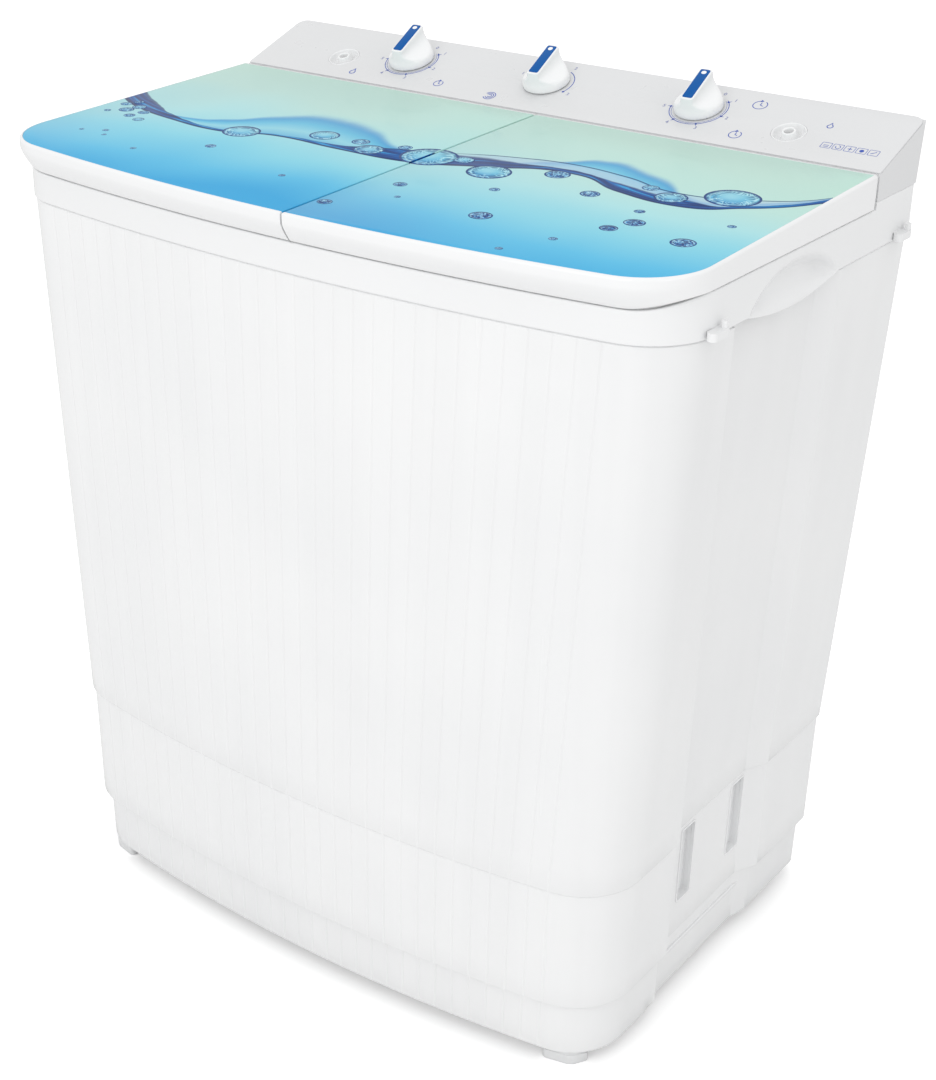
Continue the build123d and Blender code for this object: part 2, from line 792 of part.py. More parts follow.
motor_pulley = grooved_pulley(wash_motor_x, wash_motor_y, motor_pulley_r, motor_shaft_r + 0.01)
save(motor_pulley, "motor_pulley")

with BuildPart() as motor_shaft:
    discs(at_z(120), [motor_centre], motor_shaft_r, 132)
save(motor_shaft, "wash_motor_shaft")

# open belt round both pulleys
belt_h = 6.4
belt_span = math.hypot(wash_motor_x - wash_x, wash_motor_y - tub_y)
belt_angle = math.atan2(wash_motor_y - tub_y, wash_motor_x - wash_x)


def belt_loop(wash_r, motor_r):
    """Closed loop touching a circle round each pulley's centre."""
    def on_wash(angle, r=wash_r):
        return (wash_x + r * math.cos(angle), tub_y + r * math.sin(angle))

    def on_motor(angle):
        return (wash_motor_x + motor_r * math.cos(angle),
                wash_motor_y + motor_r * math.sin(angle))

    contact = math.acos((wash_r - motor_r) / belt_span)
    left, right = belt_angle + contact, belt_angle - contact
    near = on_wash(belt_angle, -wash_r)
    with BuildSketch(at_z(belt_z - belt_h / 2)) as loop:
        with BuildLine():
            Line(on_wash(left), on_motor(left))
            ThreePointArc(on_motor(left), on_motor(belt_angle), on_motor(right))
            Line(on_motor(right), on_wash(right))
            ThreePointArc(on_wash(right), near, on_wash(left))
        make_face()
    return loop.sketch


with BuildPart() as belt:
    extrude(to_extrude=belt_loop(pulley_r - 0.8, motor_pulley_r - 0.8).face(), amount=belt_h)
    extrude(to_extrude=belt_loop(pulley_r - 6.4, motor_pulley_r - 6.4).face(), amount=belt_h,
            mode=CUT)
save(belt, "drive_belt")

# ---------------------------------------------------------------- motors
bracket_z, bracket_t = 80, 6
wash_motor_z, wash_motor_h = 86, 104
spin_motor_z, spin_motor_h = 104, 96
spring_h = 45.4


def mount_circles(radius):
    """Circles at the three spin motor mounts, in the open sketch."""
    with Locations(spin_centre):
        with PolarLocations(mount_r, 3, 90):
            Circle(radius)


with BuildPart() as wash_motor:
    discs(at_z(wash_motor_z), [motor_centre], 54, wash_motor_h)
    fillet(wash_motor.edges().filter_by(GeomType.CIRCLE), 8)
    discs(at_z(wash_motor_z + wash_motor_h), [motor_centre], 16, 12)
    discs(at_z(118), [motor_centre], motor_shaft_r + 0.05, 90, CUT)
save(wash_motor, "wash_motor")

with BuildPart() as wash_bracket:
    with BuildSketch(at_z(bracket_z)):
        with Locations(motor_centre):
            RectangleRounded(150, 90, 10)
    extrude(amount=bracket_t)
    # legs
    with BuildSketch(at_z(floor_z)):
        with Locations(motor_centre):
            with GridLocations(128, 68, 2, 2):
                Circle(9)
    extrude(amount=bracket_z - floor_z)
save(wash_bracket, "wash_motor_bracket")

with BuildPart() as spin_motor:
    discs(at_z(spin_motor_z), [spin_centre], 56, spin_motor_h)
    fillet(spin_motor.edges().filter_by(GeomType.CIRCLE), 8)
    # lugs over the springs
    with BuildSketch(at_z(112)):
        mount_circles(15)
    extrude(amount=6)
    discs(at_z(130), [spin_centre], spin_shaft_r + 0.05, 90, CUT)
save(spin_motor, "spin_motor")

with BuildPart() as springs:
    for k in range(3):
        angle = math.radians(90 + 120 * k)
        spring_x = spin_x + mount_r * math.cos(angle)
        spring_y = tub_y + mount_r * math.sin(angle)
        with BuildLine() as coil:
            Helix(pitch=9.2, height=spring_h, radius=10.5, center=(spring_x, spring_y, 63.2))
        with BuildSketch(start_plane(coil.line)):
            Circle(1.7)
        sweep()
save(springs, "motor_springs")

with BuildPart() as motor_mounts:
    # seats
    with BuildSketch(at_z(floor_z)):
        mount_circles(15)
    extrude(amount=1.4)
    # posts inside the springs
    with BuildSketch(at_z(floor_z)):
        mount_circles(7)
    extrude(amount=32)
save(motor_mounts, "motor_mounts")

# ---------------------------------------------------------------- spin side
basket_z, basket_h, basket_wall = 380, 330, 2.5
spin_shaft_z0, spin_shaft_z1 = 132, 399
drum_z, drum_h, drum_r = 222, 34, 50

with BuildPart() as spin_tub:
    discs(at_z(tub_floor), [spin_centre], spin_tub_r, tub_rim - tub_floor)
    discs(at_z(tub_rim - 4), [spin_centre], spin_tub_r + 9, 4)
    discs(at_z(tub_floor + wall), [spin_centre], spin_tub_r - wall, tub_rim - tub_floor, CUT)
    # holes for the shaft seal and the drain
    with BuildSketch(at_z(tub_floor - 1)):
        with Locations(spin_centre):
            Circle(30)
        with Locations((spin_x - 80, tub_y + 70)):
            Circle(9)
    extrude(amount=6, mode=CUT)
save(spin_tub, "spin_tub")

# half section of the seal: (radius, z)
seal_profile = (
    (8.05, 318), (20, 318), (29.8, 326), (29.8, 333), (36, 333),
    (36, 336), (25, 336), (18, 352), (8.05, 352),
)
with BuildPart() as spin_seal:
    with BuildSketch(at_y(tub_y)):
        with BuildLine():
            Polyline(*[(spin_x + r, z) for r, z in seal_profile], close=True)
        make_face()
    revolve(axis=Axis((spin_x, tub_y, 0), (0, 0, 1)))
save(spin_seal, "spin_shaft_seal")

with BuildPart() as basket:
    discs(at_z(basket_z), [spin_centre], basket_r, basket_h)
    discs(at_z(basket_z + basket_wall), [spin_centre], basket_r - basket_wall, basket_h, CUT)
    # raised centre of the basket floor, bored for the shaft
    discs(at_z(basket_z), [spin_centre], 34, 26, taper=15)
    discs(at_z(basket_z - 1), [spin_centre], spin_shaft_r + 0.02, 21, CUT)
    # drain slots, cut right across; the sketch's second axis points down
    for k in range(6):
        angle = math.radians(k * 30)
        slot_plane = Plane(origin=(spin_x, tub_y, 0),
                           x_dir=(math.cos(angle), math.sin(angle), 0),
                           z_dir=(-math.sin(angle), math.cos(angle), 0))
        with BuildSketch(slot_plane.offset(-130)):
            with Locations((0, -450), (0, -540), (0, -630)):
                SlotOverall(44, 5, rotation=90)
        extrude(amount=260, mode=CUT)
save(basket, "spin_basket")

with BuildPart() as balance_ring:
    with BuildSketch(at_y(tub_y)):
        with Locations((spin_x + 115, 724)):
            RectangleRounded(22, 27, 5)
    revolve(axis=Axis((spin_x, tub_y, 0), (0, 0, 1)))
save(balance_ring, "balance_ring")

with BuildPart() as spin_shaft:
    discs(at_z(spin_shaft_z0), [spin_centre], spin_shaft_r, spin_shaft_z1 - spin_shaft_z0)
save(spin_shaft, "spin_shaft")

with BuildPart() as brake_drum:
    with BuildSketch(at_z(drum_z)):
        with Locations(spin_centre):
            Circle(drum_r)
            Circle(spin_shaft_r + 0.01, mode=CUT)
    extrude(amount=drum_h)
    # ring-shaped hollow, open at the top
    with BuildSketch(at_z(drum_z + 6)):
        with Locations(spin_centre):
            Circle(drum_r - 6)
            Circle(20, mode=CUT)
    extrude(amount=drum_h, mode=CUT)
save(brake_drum, "brake_drum")

# brake lever, pivoted on a post, with a shoe beside the drum
brake_x, brake_y = spin_x + 82.0, tub_y - 46.0
brake_centre = (brake_x, brake_y)
brake_shoulder_z = 228
brake_pin_r = 4
lever_l = 96
with BuildPart() as brake_post:
    discs(at_z(floor_z), [brake_centre], 6, brake_shoulder_z - floor_z)
    discs(at_z(brake_shoulder_z), [brake_centre], brake_pin_r, 22)
save(brake_post, "brake_post")

with BuildPart() as brake_lever:
    with BuildSketch(at_z(232)):
        with Locations(brake_centre):
            Circle(9)
        with Locations((brake_x, brake_y + lever_l / 2)):
            Rectangle(9, lever_l)
        with Locations(brake_centre):
            Circle(brake_pin_r + 0.05, mode=CUT)
    extrude(amount=10)
save(brake_lever, "brake_lever")

with BuildPart() as brake_shoe:
    with BuildSketch(at_z(230)):
        with Locations(spin_centre):
            Circle(77.4)
            Circle(drum_r + 3.5, mode=CUT)
        with Locations((spin_x + 63.6, tub_y + 2)):
            Rectangle(27.6, 34, mode=Mode.INTERSECT)
    extrude(amount=14)
save(brake_shoe, "brake_shoe")

# ---------------------------------------------------------------- drain
valve_z = 268
chamber_z, chamber_r = valve_z + 4, 18.5
plunger_rod_r = 3.0

with BuildPart() as valve:
    discs(at_z(valve_z), [valve_centre], 22, tub_floor - valve_z)
    discs(at_z(chamber_z), [valve_centre], chamber_r, tub_floor - valve_z, CUT)
    # hose nipple at the back
    discs(at_y(valve_y), [(valve_x, nipple_z)], 12, -46)
    discs(at_y(valve_y + 4), [(valve_x, nipple_z)], 9.5, -50, CUT)
    # hole for the plunger rod
    discs(at_z(valve_z - 1), [valve_centre], plunger_rod_r + 0.06, 8, CUT)
    # clear the nipple out of the chamber
    discs(at_z(chamber_z), [valve_centre], chamber_r, tub_floor - chamber_z, CUT)
save(valve, "drain_valve_body")

with BuildPart() as plunger:
    discs(at_z(316), [valve_centre], 15, 8)
    discs(at_z(250), [valve_centre], plunger_rod_r, 70)
    discs(at_z(247), [valve_centre], 6, 4)
save(plunger, "drain_plunger")

hose_drop_y = 168        # where the hose turns down and back again
with BuildPart() as drain_hose:
    with BuildLine() as hose_path:
        Polyline((valve_x, 82, nipple_z), (valve_x, hose_drop_y, nipple_z),
                 (valve_x, hose_drop_y, outlet_z), (valve_x, 206, outlet_z))
        fillet(hose_path.vertices(), 20)
    with BuildSketch(start_plane(hose_path.line)):
        Circle(15)
        Circle(12.1, mode=CUT)
    sweep()
save(drain_hose, "drain_hose")

with BuildPart() as drain_outlet:
    discs(at_y(238), [outlet_point], 13, 30)
    # flange inside the back wall
    discs(at_y(231.5), [outlet_point], 19, 3)
    # nose that enters the hose
    discs(at_y(208), [outlet_point], 12, 16)
    discs(at_y(240), [outlet_point], 9.5, 60, CUT)
save(drain_outlet, "drain_outlet")

with BuildPart() as spin_drain:
    with BuildLine() as spin_drain_path:
        Spline((spin_x - 80, tub_y + 70, tub_floor - 1), (80, 110, 288), (-100, 172, 278),
               (-269.5, 168, 264), tangents=((0, 0, -1), (-1, 0, 0)))
    with BuildSketch(start_plane(spin_drain_path.line)):
        Circle(8.5)
    sweep()
save(spin_drain, "spin_drain_tube")

# ---------------------------------------------------------------- electrics
capacitor_x, capacitor_y, capacitor_h = -250, 150, 72
with BuildPart() as capacitor:
    discs(at_z(floor_z), [(capacitor_x, capacitor_y)], 21, capacitor_h)
    fillet(capacitor.edges().filter_by(GeomType.CIRCLE).group_by(Axis.Z)[-1], 3)
    # terminals
    with BuildSketch(at_z(floor_z + capacitor_h)):
        with Locations((capacitor_x - 6, capacitor_y), (capacitor_x + 6, capacitor_y)):
            Rectangle(1, 6)
    extrude(amount=8)
save(capacitor, "capacitor")

with BuildPart() as wiring_loom:
    with BuildLine() as loom_path:
        Spline((20, 212, 770), (60, 222, 600), (60, 220, 300), (60, 160, 120), (60, 120, 75),
               tangents=((0, 0, -1), (0, -0.4, -1)))
    with BuildSketch(start_plane(loom_path.line)):
        Circle(5)
    sweep()
save(wiring_loom, "wiring_loom")

with BuildPart() as power_cord:
    with BuildLine() as cord_path:
        Spline((cord_x, 239.5, cord_z), (cord_x, 200, cord_z), (200, 175, 100), (90, 140, 68),
               tangents=((0, -1, 0), (-1, -0.4, -0.3)))
    with BuildSketch(start_plane(cord_path.line)):
        Circle(3.6)
    sweep()
    # moulded strain relief through the back wall, flanged inside
    discs(at_y(238.5), [(cord_x, cord_z)], 6.9, 14)
    discs(at_y(231), [(cord_x, cord_z)], 11, 3)
save(power_cord, "power_cord")
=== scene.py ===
"""Twin-tub washing machine: fluted shell, two printed lids and a sloping console.

It stands on z = 0 with its front towards -y. The wash tub is at -x and the spin tub at +x.
Lengths are in mm and are scaled to metres when a mesh is made.
"""

import math
from typing import NamedTuple

import bmesh
import bpy
import numpy as np
from mathutils import Matrix, Vector


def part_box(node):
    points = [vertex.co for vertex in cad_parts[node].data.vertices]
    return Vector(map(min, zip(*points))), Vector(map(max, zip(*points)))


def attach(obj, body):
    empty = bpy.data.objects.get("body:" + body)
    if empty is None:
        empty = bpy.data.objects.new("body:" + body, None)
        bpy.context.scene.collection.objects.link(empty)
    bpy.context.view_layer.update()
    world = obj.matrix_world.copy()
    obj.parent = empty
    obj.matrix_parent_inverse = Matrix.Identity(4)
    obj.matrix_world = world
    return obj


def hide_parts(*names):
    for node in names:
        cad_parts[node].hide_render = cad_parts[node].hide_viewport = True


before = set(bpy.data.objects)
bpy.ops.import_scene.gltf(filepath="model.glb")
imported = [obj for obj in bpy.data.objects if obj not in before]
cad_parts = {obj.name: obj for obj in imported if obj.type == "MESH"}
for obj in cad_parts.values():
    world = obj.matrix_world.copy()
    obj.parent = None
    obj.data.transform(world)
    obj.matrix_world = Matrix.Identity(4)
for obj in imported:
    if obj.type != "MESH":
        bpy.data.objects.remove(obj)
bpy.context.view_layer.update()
scene = bpy.context.scene
MM = 0.001


# ------------------------------------------------------------------ layout
def box_mm(node):
    """Low and high corner of a CAD node."""
    return [[v * 1000 for v in corner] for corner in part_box(node)]


class Outline(NamedTuple):
    """Plan shape: straight sides and back, a bowed front, rounded corners."""
    width: float
    front: float  # y where the bow would meet the sides without fillets
    back: float
    bow: float
    front_radius: float
    back_radius: float

    @property
    def bow_radius(self):
        return (self.width * self.width / 4 + self.bow * self.bow) / (2 * self.bow)

    @property
    def bow_centre(self):
        return self.front - self.bow + self.bow_radius

    @property
    def fillet_x(self):
        return self.width / 2 - self.front_radius

    @property
    def fillet_y(self):
        reach = self.bow_radius - self.front_radius
        return self.bow_centre - math.sqrt(reach ** 2 - self.fillet_x ** 2)

    @property
    def fillet_angle(self):
        """Direction in which the right front fillet meets the bow."""
        return math.atan2(self.fillet_y - self.bow_centre, self.fillet_x)

    def front_y(self, x, inset=0.0):
        radius = self.bow_radius - inset
        return self.bow_centre - math.sqrt(radius * radius - x * x)


base_low, base_high = box_mm("base")
wash_lid_low, wash_lid_high = box_mm("wash_lid_frame")
console_low, console_high = box_mm("console_housing")

BASE_BOTTOM = base_low[2]
PLINTH_TOP = 75.0
BASE_TAPER = 129.0  # height over which the base widens above the plinth
BASE_TOP = base_high[2]
BODY_TOP = box_mm("body_shell")[1][2]
DECK = 773.0
LEDGE_TOP = 780.0
BACK = box_mm("top_frame")[1][1]

CONSOLE_FRONT = console_low[1]
CONSOLE_FRONT_Z, CONSOLE_BACK_Z = 806.0, console_high[2]
CONSOLE_SLOPE_END = 238.0
CONSOLE_HALF = 369.0
KNOB_S, WELL_S = 52.5, 38.7  # places up the slope
KNOB_HOLE, WELL_HOLE = 5.0, 16.75  # radii
WELL_X = (-266.0, 260.0)

LID_FRONT, LID_FRONT_Z, LID_BACK_Z = -209.0, 791.5, CONSOLE_FRONT_Z
LID_BOTTOM = wash_lid_low[2]
LIP_DROP = 11.0  # how much lower the lid lip hangs across the front
SEAM = (wash_lid_high[0] + box_mm("spin_lid_frame")[0][0]) / 2
SEAM_HALF = 1.0
HINGE_X = (-338, -26, 44, 338)
HINGE_Y, HINGE_Z = 136, 796.4

PLINTH_LOW = Outline(652.0, -189.0, 232.0, 30.0, 60.0, 14.0)
PLINTH_HIGH = Outline(654.0, -190.0, 233.0, 30.0, 60.0, 14.0)
BASE_LOW = Outline(669.0, -195.0, 235.0, 33.0, 66.0, 16.0)
BASE_HIGH = Outline(672.0, -196.0, 236.0, 33.0, 66.0, 16.0)
BODY_LOW = Outline(676.0, -198.0, 237.0, 33.0, 66.0, 16.0)
BODY_HIGH = Outline(735.0, -196.0, 237.0, 31.0, 66.0, 16.0)
FRAME = Outline(738.0, -197.0, BACK, 31.0, 66.0, 16.0)
LID = Outline(740.0, LID_FRONT, wash_lid_high[1], 31.0, 66.0, 4.0)

# side recess: (front y, back y) at the bottom and at the top of each casing
BODY_RECESS = ((-70.0, 106.0), (-104.0, 90.0))
BASE_RECESS = ((-72.0, 112.0), (-70.0, 108.0))
BASE_RECESS_Z = (55, 206)
RECESS_DEPTH, PLINTH_RECESS_DEPTH = 12.0, 6.0
RECESS_RAMP = 26.0  # length of the ramp at the back of the recess
CASING_WALL = 3.0
CASING_FRONT_STEPS = 900
FLUTE_PITCH = 21.0
SLOT_Y, SLOT_Z = (-28, 71), 155


def lid_z(y):
    """Height of the lids' sloping top plane."""
    rise = (LID_BACK_Z - LID_FRONT_Z) / (CONSOLE_FRONT - LID_FRONT)
    return LID_BACK_Z + (y - CONSOLE_FRONT) * rise


def smooth(x):
    x = min(max(x, 0.0), 1.0)
    return x * x * (3 - 2 * x)


def blend(a, b, share):
    return tuple(p + (q - p) * share for p, q in zip(a, b))


# ------------------------------------------------------------------ plan curves
def circle(cx, cy, radius, count=64):
    turns = [2 * math.pi * k / count for k in range(count)]
    return [(cx + radius * math.cos(a), cy + radius * math.sin(a)) for a in turns]


# sign of x, sign of y, start angle
CORNERS = ((1, 1, 0), (-1, 1, 90), (-1, -1, 180), (1, -1, 270))


def rounded_rect(cx, cy, width, height, radius, steps=6):
    points = []
    for sx, sy, start in CORNERS:
        for k in range(steps + 1):
            a = math.radians(start + 90 * k / steps)
            points.append((cx + sx * (width / 2 - radius) + radius * math.cos(a),
                           cy + sy * (height / 2 - radius) + radius * math.sin(a)))
    return points


def plan_points(outline, inset=0.0, front_steps=80, side_ys=None):
    """Outline as (x, y, normal x, normal y, on a side), clockwise from above.

    It starts at the back end of the right side.
    """
    half = outline.width / 2 - inset
    corner = outline.back_radius - inset
    side_end = outline.back - inset - corner
    side_start, rear = outline.fillet_y, outline.back - outline.back_radius
    if side_ys is None:
        ys = [side_start + (rear - side_start) * q for q in np.linspace(1, 0, 24)]
    else:
        ys = [rear, *side_ys, side_start]
    points = [(half, min(y, side_end), 1, 0, True) for y in ys]

    def arc(cx, cy, radius, angles):
        for a in angles:
            c, s = math.cos(a), math.sin(a)
            points.append((cx + radius * c, cy + radius * s, c, s, False))

    pi = math.pi
    fillet = outline.front_radius - inset
    near = outline.fillet_angle
    far = -pi - near
    arc(outline.fillet_x, side_start, fillet, [near * k / 14 for k in range(1, 15)])
    arc(0.0, outline.bow_centre, outline.bow_radius - inset,
        [near + (-pi - near - near) * k / front_steps for k in range(1, front_steps)])
    arc(-outline.fillet_x, side_start, fillet, [far + (-pi - far) * k / 14 for k in range(14)])
    points += [(-half, min(y, side_end), -1, 0, True) for y in ys[::-1]]
    arc(-half + corner, side_end, corner, [pi - (pi / 2) * k / 6 for k in range(1, 7)])
    for k in range(1, 10):
        x = -half + corner + (2 * half - 2 * corner) * k / 10
        points.append((x, outline.back - inset, 0, 1, False))
    arc(half - corner, side_end, corner, [pi / 2 - (pi / 2) * k / 6 for k in range(6)])
    return points


def plan_loop(outline, inset):
    return [(p[0], p[1]) for p in plan_points(outline, inset)]


def contains(loop, px, py):
    """Whether a point lies inside a plan loop."""
    inside = False
    for (x0, y0), (x1, y1) in zip(loop, loop[1:] + loop[:1]):
        if (y0 > py) != (y1 > py) and px < (x1 - x0) * (py - y0) / (y1 - y0) + x0:
            inside = not inside
    return inside


# ------------------------------------------------------------------ mesh helpers
def new_mesh(name, verts, faces, material, smooth_shaded=True):
    mesh = bpy.data.meshes.new(name)
    mesh.from_pydata([tuple(np.asarray(v, float) * MM) for v in verts], [], faces)
    mesh.validate()
    mesh.materials.append(material)
    for face in mesh.polygons:
        face.use_smooth = smooth_shaded
    mesh.update()
    return add_object(name, mesh)


def add_object(name, data):
    ob = bpy.data.objects.new(name, data)
    scene.collection.objects.link(ob)
    return ob


def clean(ob, merge=1e-6):
    """Weld doubles, drop degenerate edges and turn the faces outwards."""
    bm = bmesh.new()
    bm.from_mesh(ob.data)
    bmesh.ops.remove_doubles(bm, verts=bm.verts, dist=merge)
    bmesh.ops.dissolve_degenerate(bm, edges=bm.edges, dist=merge)
    bmesh.ops.recalc_face_normals(bm, faces=bm.faces)
    bm.to_mesh(ob.data)
    bm.free()
    ob.data.update()


def split_normals(ob, angle):
    """Smooth shading that keeps edges sharper than angle."""
    bm = bmesh.new()
    bm.from_mesh(ob.data)
    limit = math.radians(angle)
    for edge in bm.edges:
        edge.smooth = not (len(edge.link_faces) == 2 and edge.calc_face_angle(0) > limit)
    for face in bm.faces:
        face.smooth = True
    bm.to_mesh(ob.data)
    bm.free()


def bevel(ob, width, segments=2, angle=30):
    modifier = ob.modifiers.new("bevel", "BEVEL")
    modifier.width = width * MM
    modifier.segments = segments
    modifier.limit_method = "ANGLE"
    modifier.angle_limit = math.radians(angle)
    for face in ob.data.polygons:
        face.use_smooth = True
    ob.modifiers.new("wn", "WEIGHTED_NORMAL").keep_sharp = True


def band_faces(count, pairs, first=0):
    """Quads joining pairs of numbered rings that each have count points."""
    faces = []
    for a, b in pairs:
        for i in range(count):
            j = (i + 1) % count
            faces.append(tuple(first + v for v in
                               (a * count + i, a * count + j, b * count + j, b * count + i)))
    return faces


RING_OF_FOUR = ((0, 1), (1, 2), (2, 3), (3, 0))


def loft(name, rings, material, looped=False, merge=1e-6):
    """Skin over successive rings: either capped, or looped back to the first ring."""
    count, total = len(rings[0]), len(rings)
    pairs = [(k, (k + 1) % total) for k in range(total if looped else total - 1)]
    faces = band_faces(count, pairs)
    if not looped:
        faces.append(tuple(range(count - 1, -1, -1)))
        faces.append(tuple((total - 1) * count + i for i in range(count)))
    ob = new_mesh(name, [p for ring in rings for p in ring], faces, material)
    clean(ob, merge)
    return ob


def prism(name, profile, axis, low, high, material):
    """Closed prism: a profile swept along an axis."""
    k = "xyz".index(axis)
    n = len(profile)
    verts = [(*p[:k], h, *p[k:]) for h in (low, high) for p in profile]
    faces = [tuple(range(n)), tuple(range(2 * n - 1, n - 1, -1))]
    ob = new_mesh(name, verts, faces + band_faces(n, [(0, 1)]), material)
    clean(ob)
    return ob


def cutter(profile, axis, low, high):
    return prism("cutter", profile, axis, low, high, WHITE)


def cut(ob, cutters, angle=40):
    """Subtract the cutters from a closed mesh, apply the result and delete them."""
    for k, tool in enumerate(cutters):
        modifier = ob.modifiers.new(f"cut{k}", "BOOLEAN")
        modifier.operation = "DIFFERENCE"
        modifier.solver = "EXACT"
        modifier.object = tool
    depsgraph = bpy.context.evaluated_depsgraph_get()
    mesh = bpy.data.meshes.new_from_object(ob.evaluated_get(depsgraph))
    materials = list(ob.data.materials)
    ob.modifiers.clear()
    ob.data = mesh
    if not mesh.materials:  # the evaluated mesh may come without its slots
        for material in materials:
            mesh.materials.append(material)
    for tool in cutters:
        bpy.data.objects.remove(tool)
    split_normals(ob, angle)


def curve_mesh(curve, place, material):
    """Mesh of a curve or text, moved to its place."""
    temp = add_object(curve.name + "_temp", curve)
    bpy.context.view_layer.update()
    depsgraph = bpy.context.evaluated_depsgraph_get()
    mesh = bpy.data.meshes.new_from_object(temp.evaluated_get(depsgraph))
    bpy.data.objects.remove(temp)
    mesh.transform(place)
    mesh.materials.clear()
    mesh.materials.append(material)
    return mesh


def install(ob, node, body="cabinet"):
    """Let the piece stand in for a CAD node and move with a body."""
    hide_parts(node)
    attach(ob, body)


def plate(name, loops, thickness, edge, edge_steps, place, material, node):
    """Plate with rounded edges: the first loop is the rim, the others are openings."""
    curve = bpy.data.curves.new(name, "CURVE")
    curve.dimensions = "2D"
    curve.fill_mode = "BOTH"
    for loop in loops:
        spline = curve.splines.new("POLY")
        spline.points.add(len(loop) - 1)
        for point, (x, y) in zip(spline.points, loop):
            point.co = (x * MM, y * MM, 0, 1)
        spline.use_cyclic_u = True
    curve.extrude = thickness / 2 * MM - edge * MM
    curve.bevel_depth = edge * MM
    curve.bevel_resolution = edge_steps
    curve.offset = -edge * MM
    ob = add_object(name, curve_mesh(curve, place, material))
    clean(ob, 1e-7)
    split_normals(ob, 35)
    install(ob, node)


def flat_plate(name, bottom, top, loops, edge, node):
    lift = Matrix.Translation((0, 0, (bottom + top) / 2 * MM))
    plate(name, loops, top - bottom, edge, 2, lift, WHITE, node)


# ------------------------------------------------------------------ materials
class Shader:
    """A material with a Principled shader, and short calls that add nodes to it.

    Its textures use object coordinates, or a vector attribute if one is named.
    """

    def __init__(self, name, attribute=None):
        self.material = bpy.data.materials.new(name)
        self.material.use_nodes = True
        self.tree = self.material.node_tree
        self.tree.nodes.clear()
        self.output = self.node("OutputMaterial")
        self.bsdf = self.node("BsdfPrincipled")
        self.link(self.bsdf.outputs[0], self.output.inputs[0])
        if attribute:
            self.coords = self.attribute(attribute)
        else:
            self.coords = self.node("TexCoord").outputs["Object"]

    def node(self, kind):
        return self.tree.nodes.new("ShaderNode" + kind)

    def link(self, source, target):
        self.tree.links.new(source, target)

    def feed(self, socket, value):
        """Link a socket, or set a number or an RGB colour."""
        if isinstance(value, bpy.types.NodeSocket):
            self.link(value, socket)
        else:
            socket.default_value = (*value, 1) if isinstance(value, tuple) else value

    def set(self, name, value):
        self.feed(self.bsdf.inputs[name], value)

    def attribute(self, name):
        node = self.node("Attribute")
        node.attribute_name = name
        return node.outputs["Vector"]

    def components(self, vector):
        node = self.node("SeparateXYZ")
        self.link(vector, node.inputs[0])
        return node.outputs

    def math(self, operation, *values):
        node = self.node("Math")
        node.operation = operation
        for socket, value in zip(node.inputs, values):
            self.feed(socket, value)
        return node.outputs[0]

    def add(self, a, b):
        return self.math("ADD", a, b)

    def subtract(self, a, b):
        return self.math("SUBTRACT", a, b)

    def multiply(self, a, b):
        return self.math("MULTIPLY", a, b)

    def scaled(self, value, by, plus):
        return self.math("MULTIPLY_ADD", value, by, plus)

    def size(self, value):
        return self.math("ABSOLUTE", value)

    def distance(self, x, y):
        return self.math("SQRT", self.add(self.multiply(x, x), self.multiply(y, y)))

    def rise(self, value, start, end):
        """0 before start, 1 after end, smooth between."""
        node = self.node("MapRange")
        node.interpolation_type = "SMOOTHSTEP"
        node.inputs["From Min"].default_value = start
        node.inputs["From Max"].default_value = end
        self.link(value, node.inputs["Value"])
        return node.outputs[0]

    def fall(self, value, start, end):
        return self.subtract(1.0, self.rise(value, start, end))

    def noise(self, scale, detail, stretch=None, distortion=0.0, vector=None):
        vector = vector or self.coords
        if stretch is not None:
            mapping = self.node("Mapping")
            mapping.inputs["Scale"].default_value = stretch
            self.link(vector, mapping.inputs["Vector"])
            vector = mapping.outputs[0]
        node = self.node("TexNoise")
        node.inputs["Scale"].default_value = scale
        node.inputs["Detail"].default_value = detail
        node.inputs["Distortion"].default_value = distortion
        self.link(vector, node.inputs["Vector"])
        return node.outputs["Fac"]

    def wobble(self, scale, detail, amount):
        """Noise centred on zero."""
        return self.multiply(self.subtract(self.noise(scale, detail), 0.5), amount)

    def ramp(self, value, stops):
        node = self.node("ValToRGB")
        elements = node.color_ramp.elements
        while len(elements) < len(stops):
            elements.new(0.5)
        for element, (position, colour) in zip(elements, stops):
            element.position = position
            element.color = (*colour, 1)
        self.link(value, node.inputs[0])
        return node.outputs["Color"]

    def tones(self, value, low, high, start=0.3, end=0.7):
        return self.ramp(value, [(start, low), (end, high)])

    def mix(self, factor, a, b, mode="MIX"):
        node = self.node("Mix")
        node.data_type = "RGBA"
        node.blend_type = mode
        for k, value in ((0, factor), (6, a), (7, b)):  # 6 and 7 are the colour sockets
            self.feed(node.inputs[k], value)
        return node.outputs[2]

    def curve(self, value, points, low, high):
        """Smooth curve through (position 0..1, height); heights lie in low..high."""
        node = self.node("FloatCurve")
        curve = node.mapping.curves[0]
        while len(curve.points) < len(points):
            curve.points.new(0.5, 0.5)
        for point, (position, height) in zip(curve.points, points):
            point.location = (position, (height - low) / (high - low))
            point.handle_type = "AUTO"
        node.mapping.update()
        self.link(value, node.inputs["Value"])
        return self.scaled(node.outputs[0], by=high - low, plus=low)

    def bump(self, height, strength, distance):
        node = self.node("Bump")
        node.inputs["Strength"].default_value = strength
        node.inputs["Distance"].default_value = distance
        self.link(height, node.inputs["Height"])
        self.link(node.outputs[0], self.bsdf.inputs["Normal"])


def shift(colour, by):
    return tuple(min(max(c + by, 0), 1) for c in colour)


def shade(colour, factor):
    return tuple(min(c * factor, 1) for c in colour)


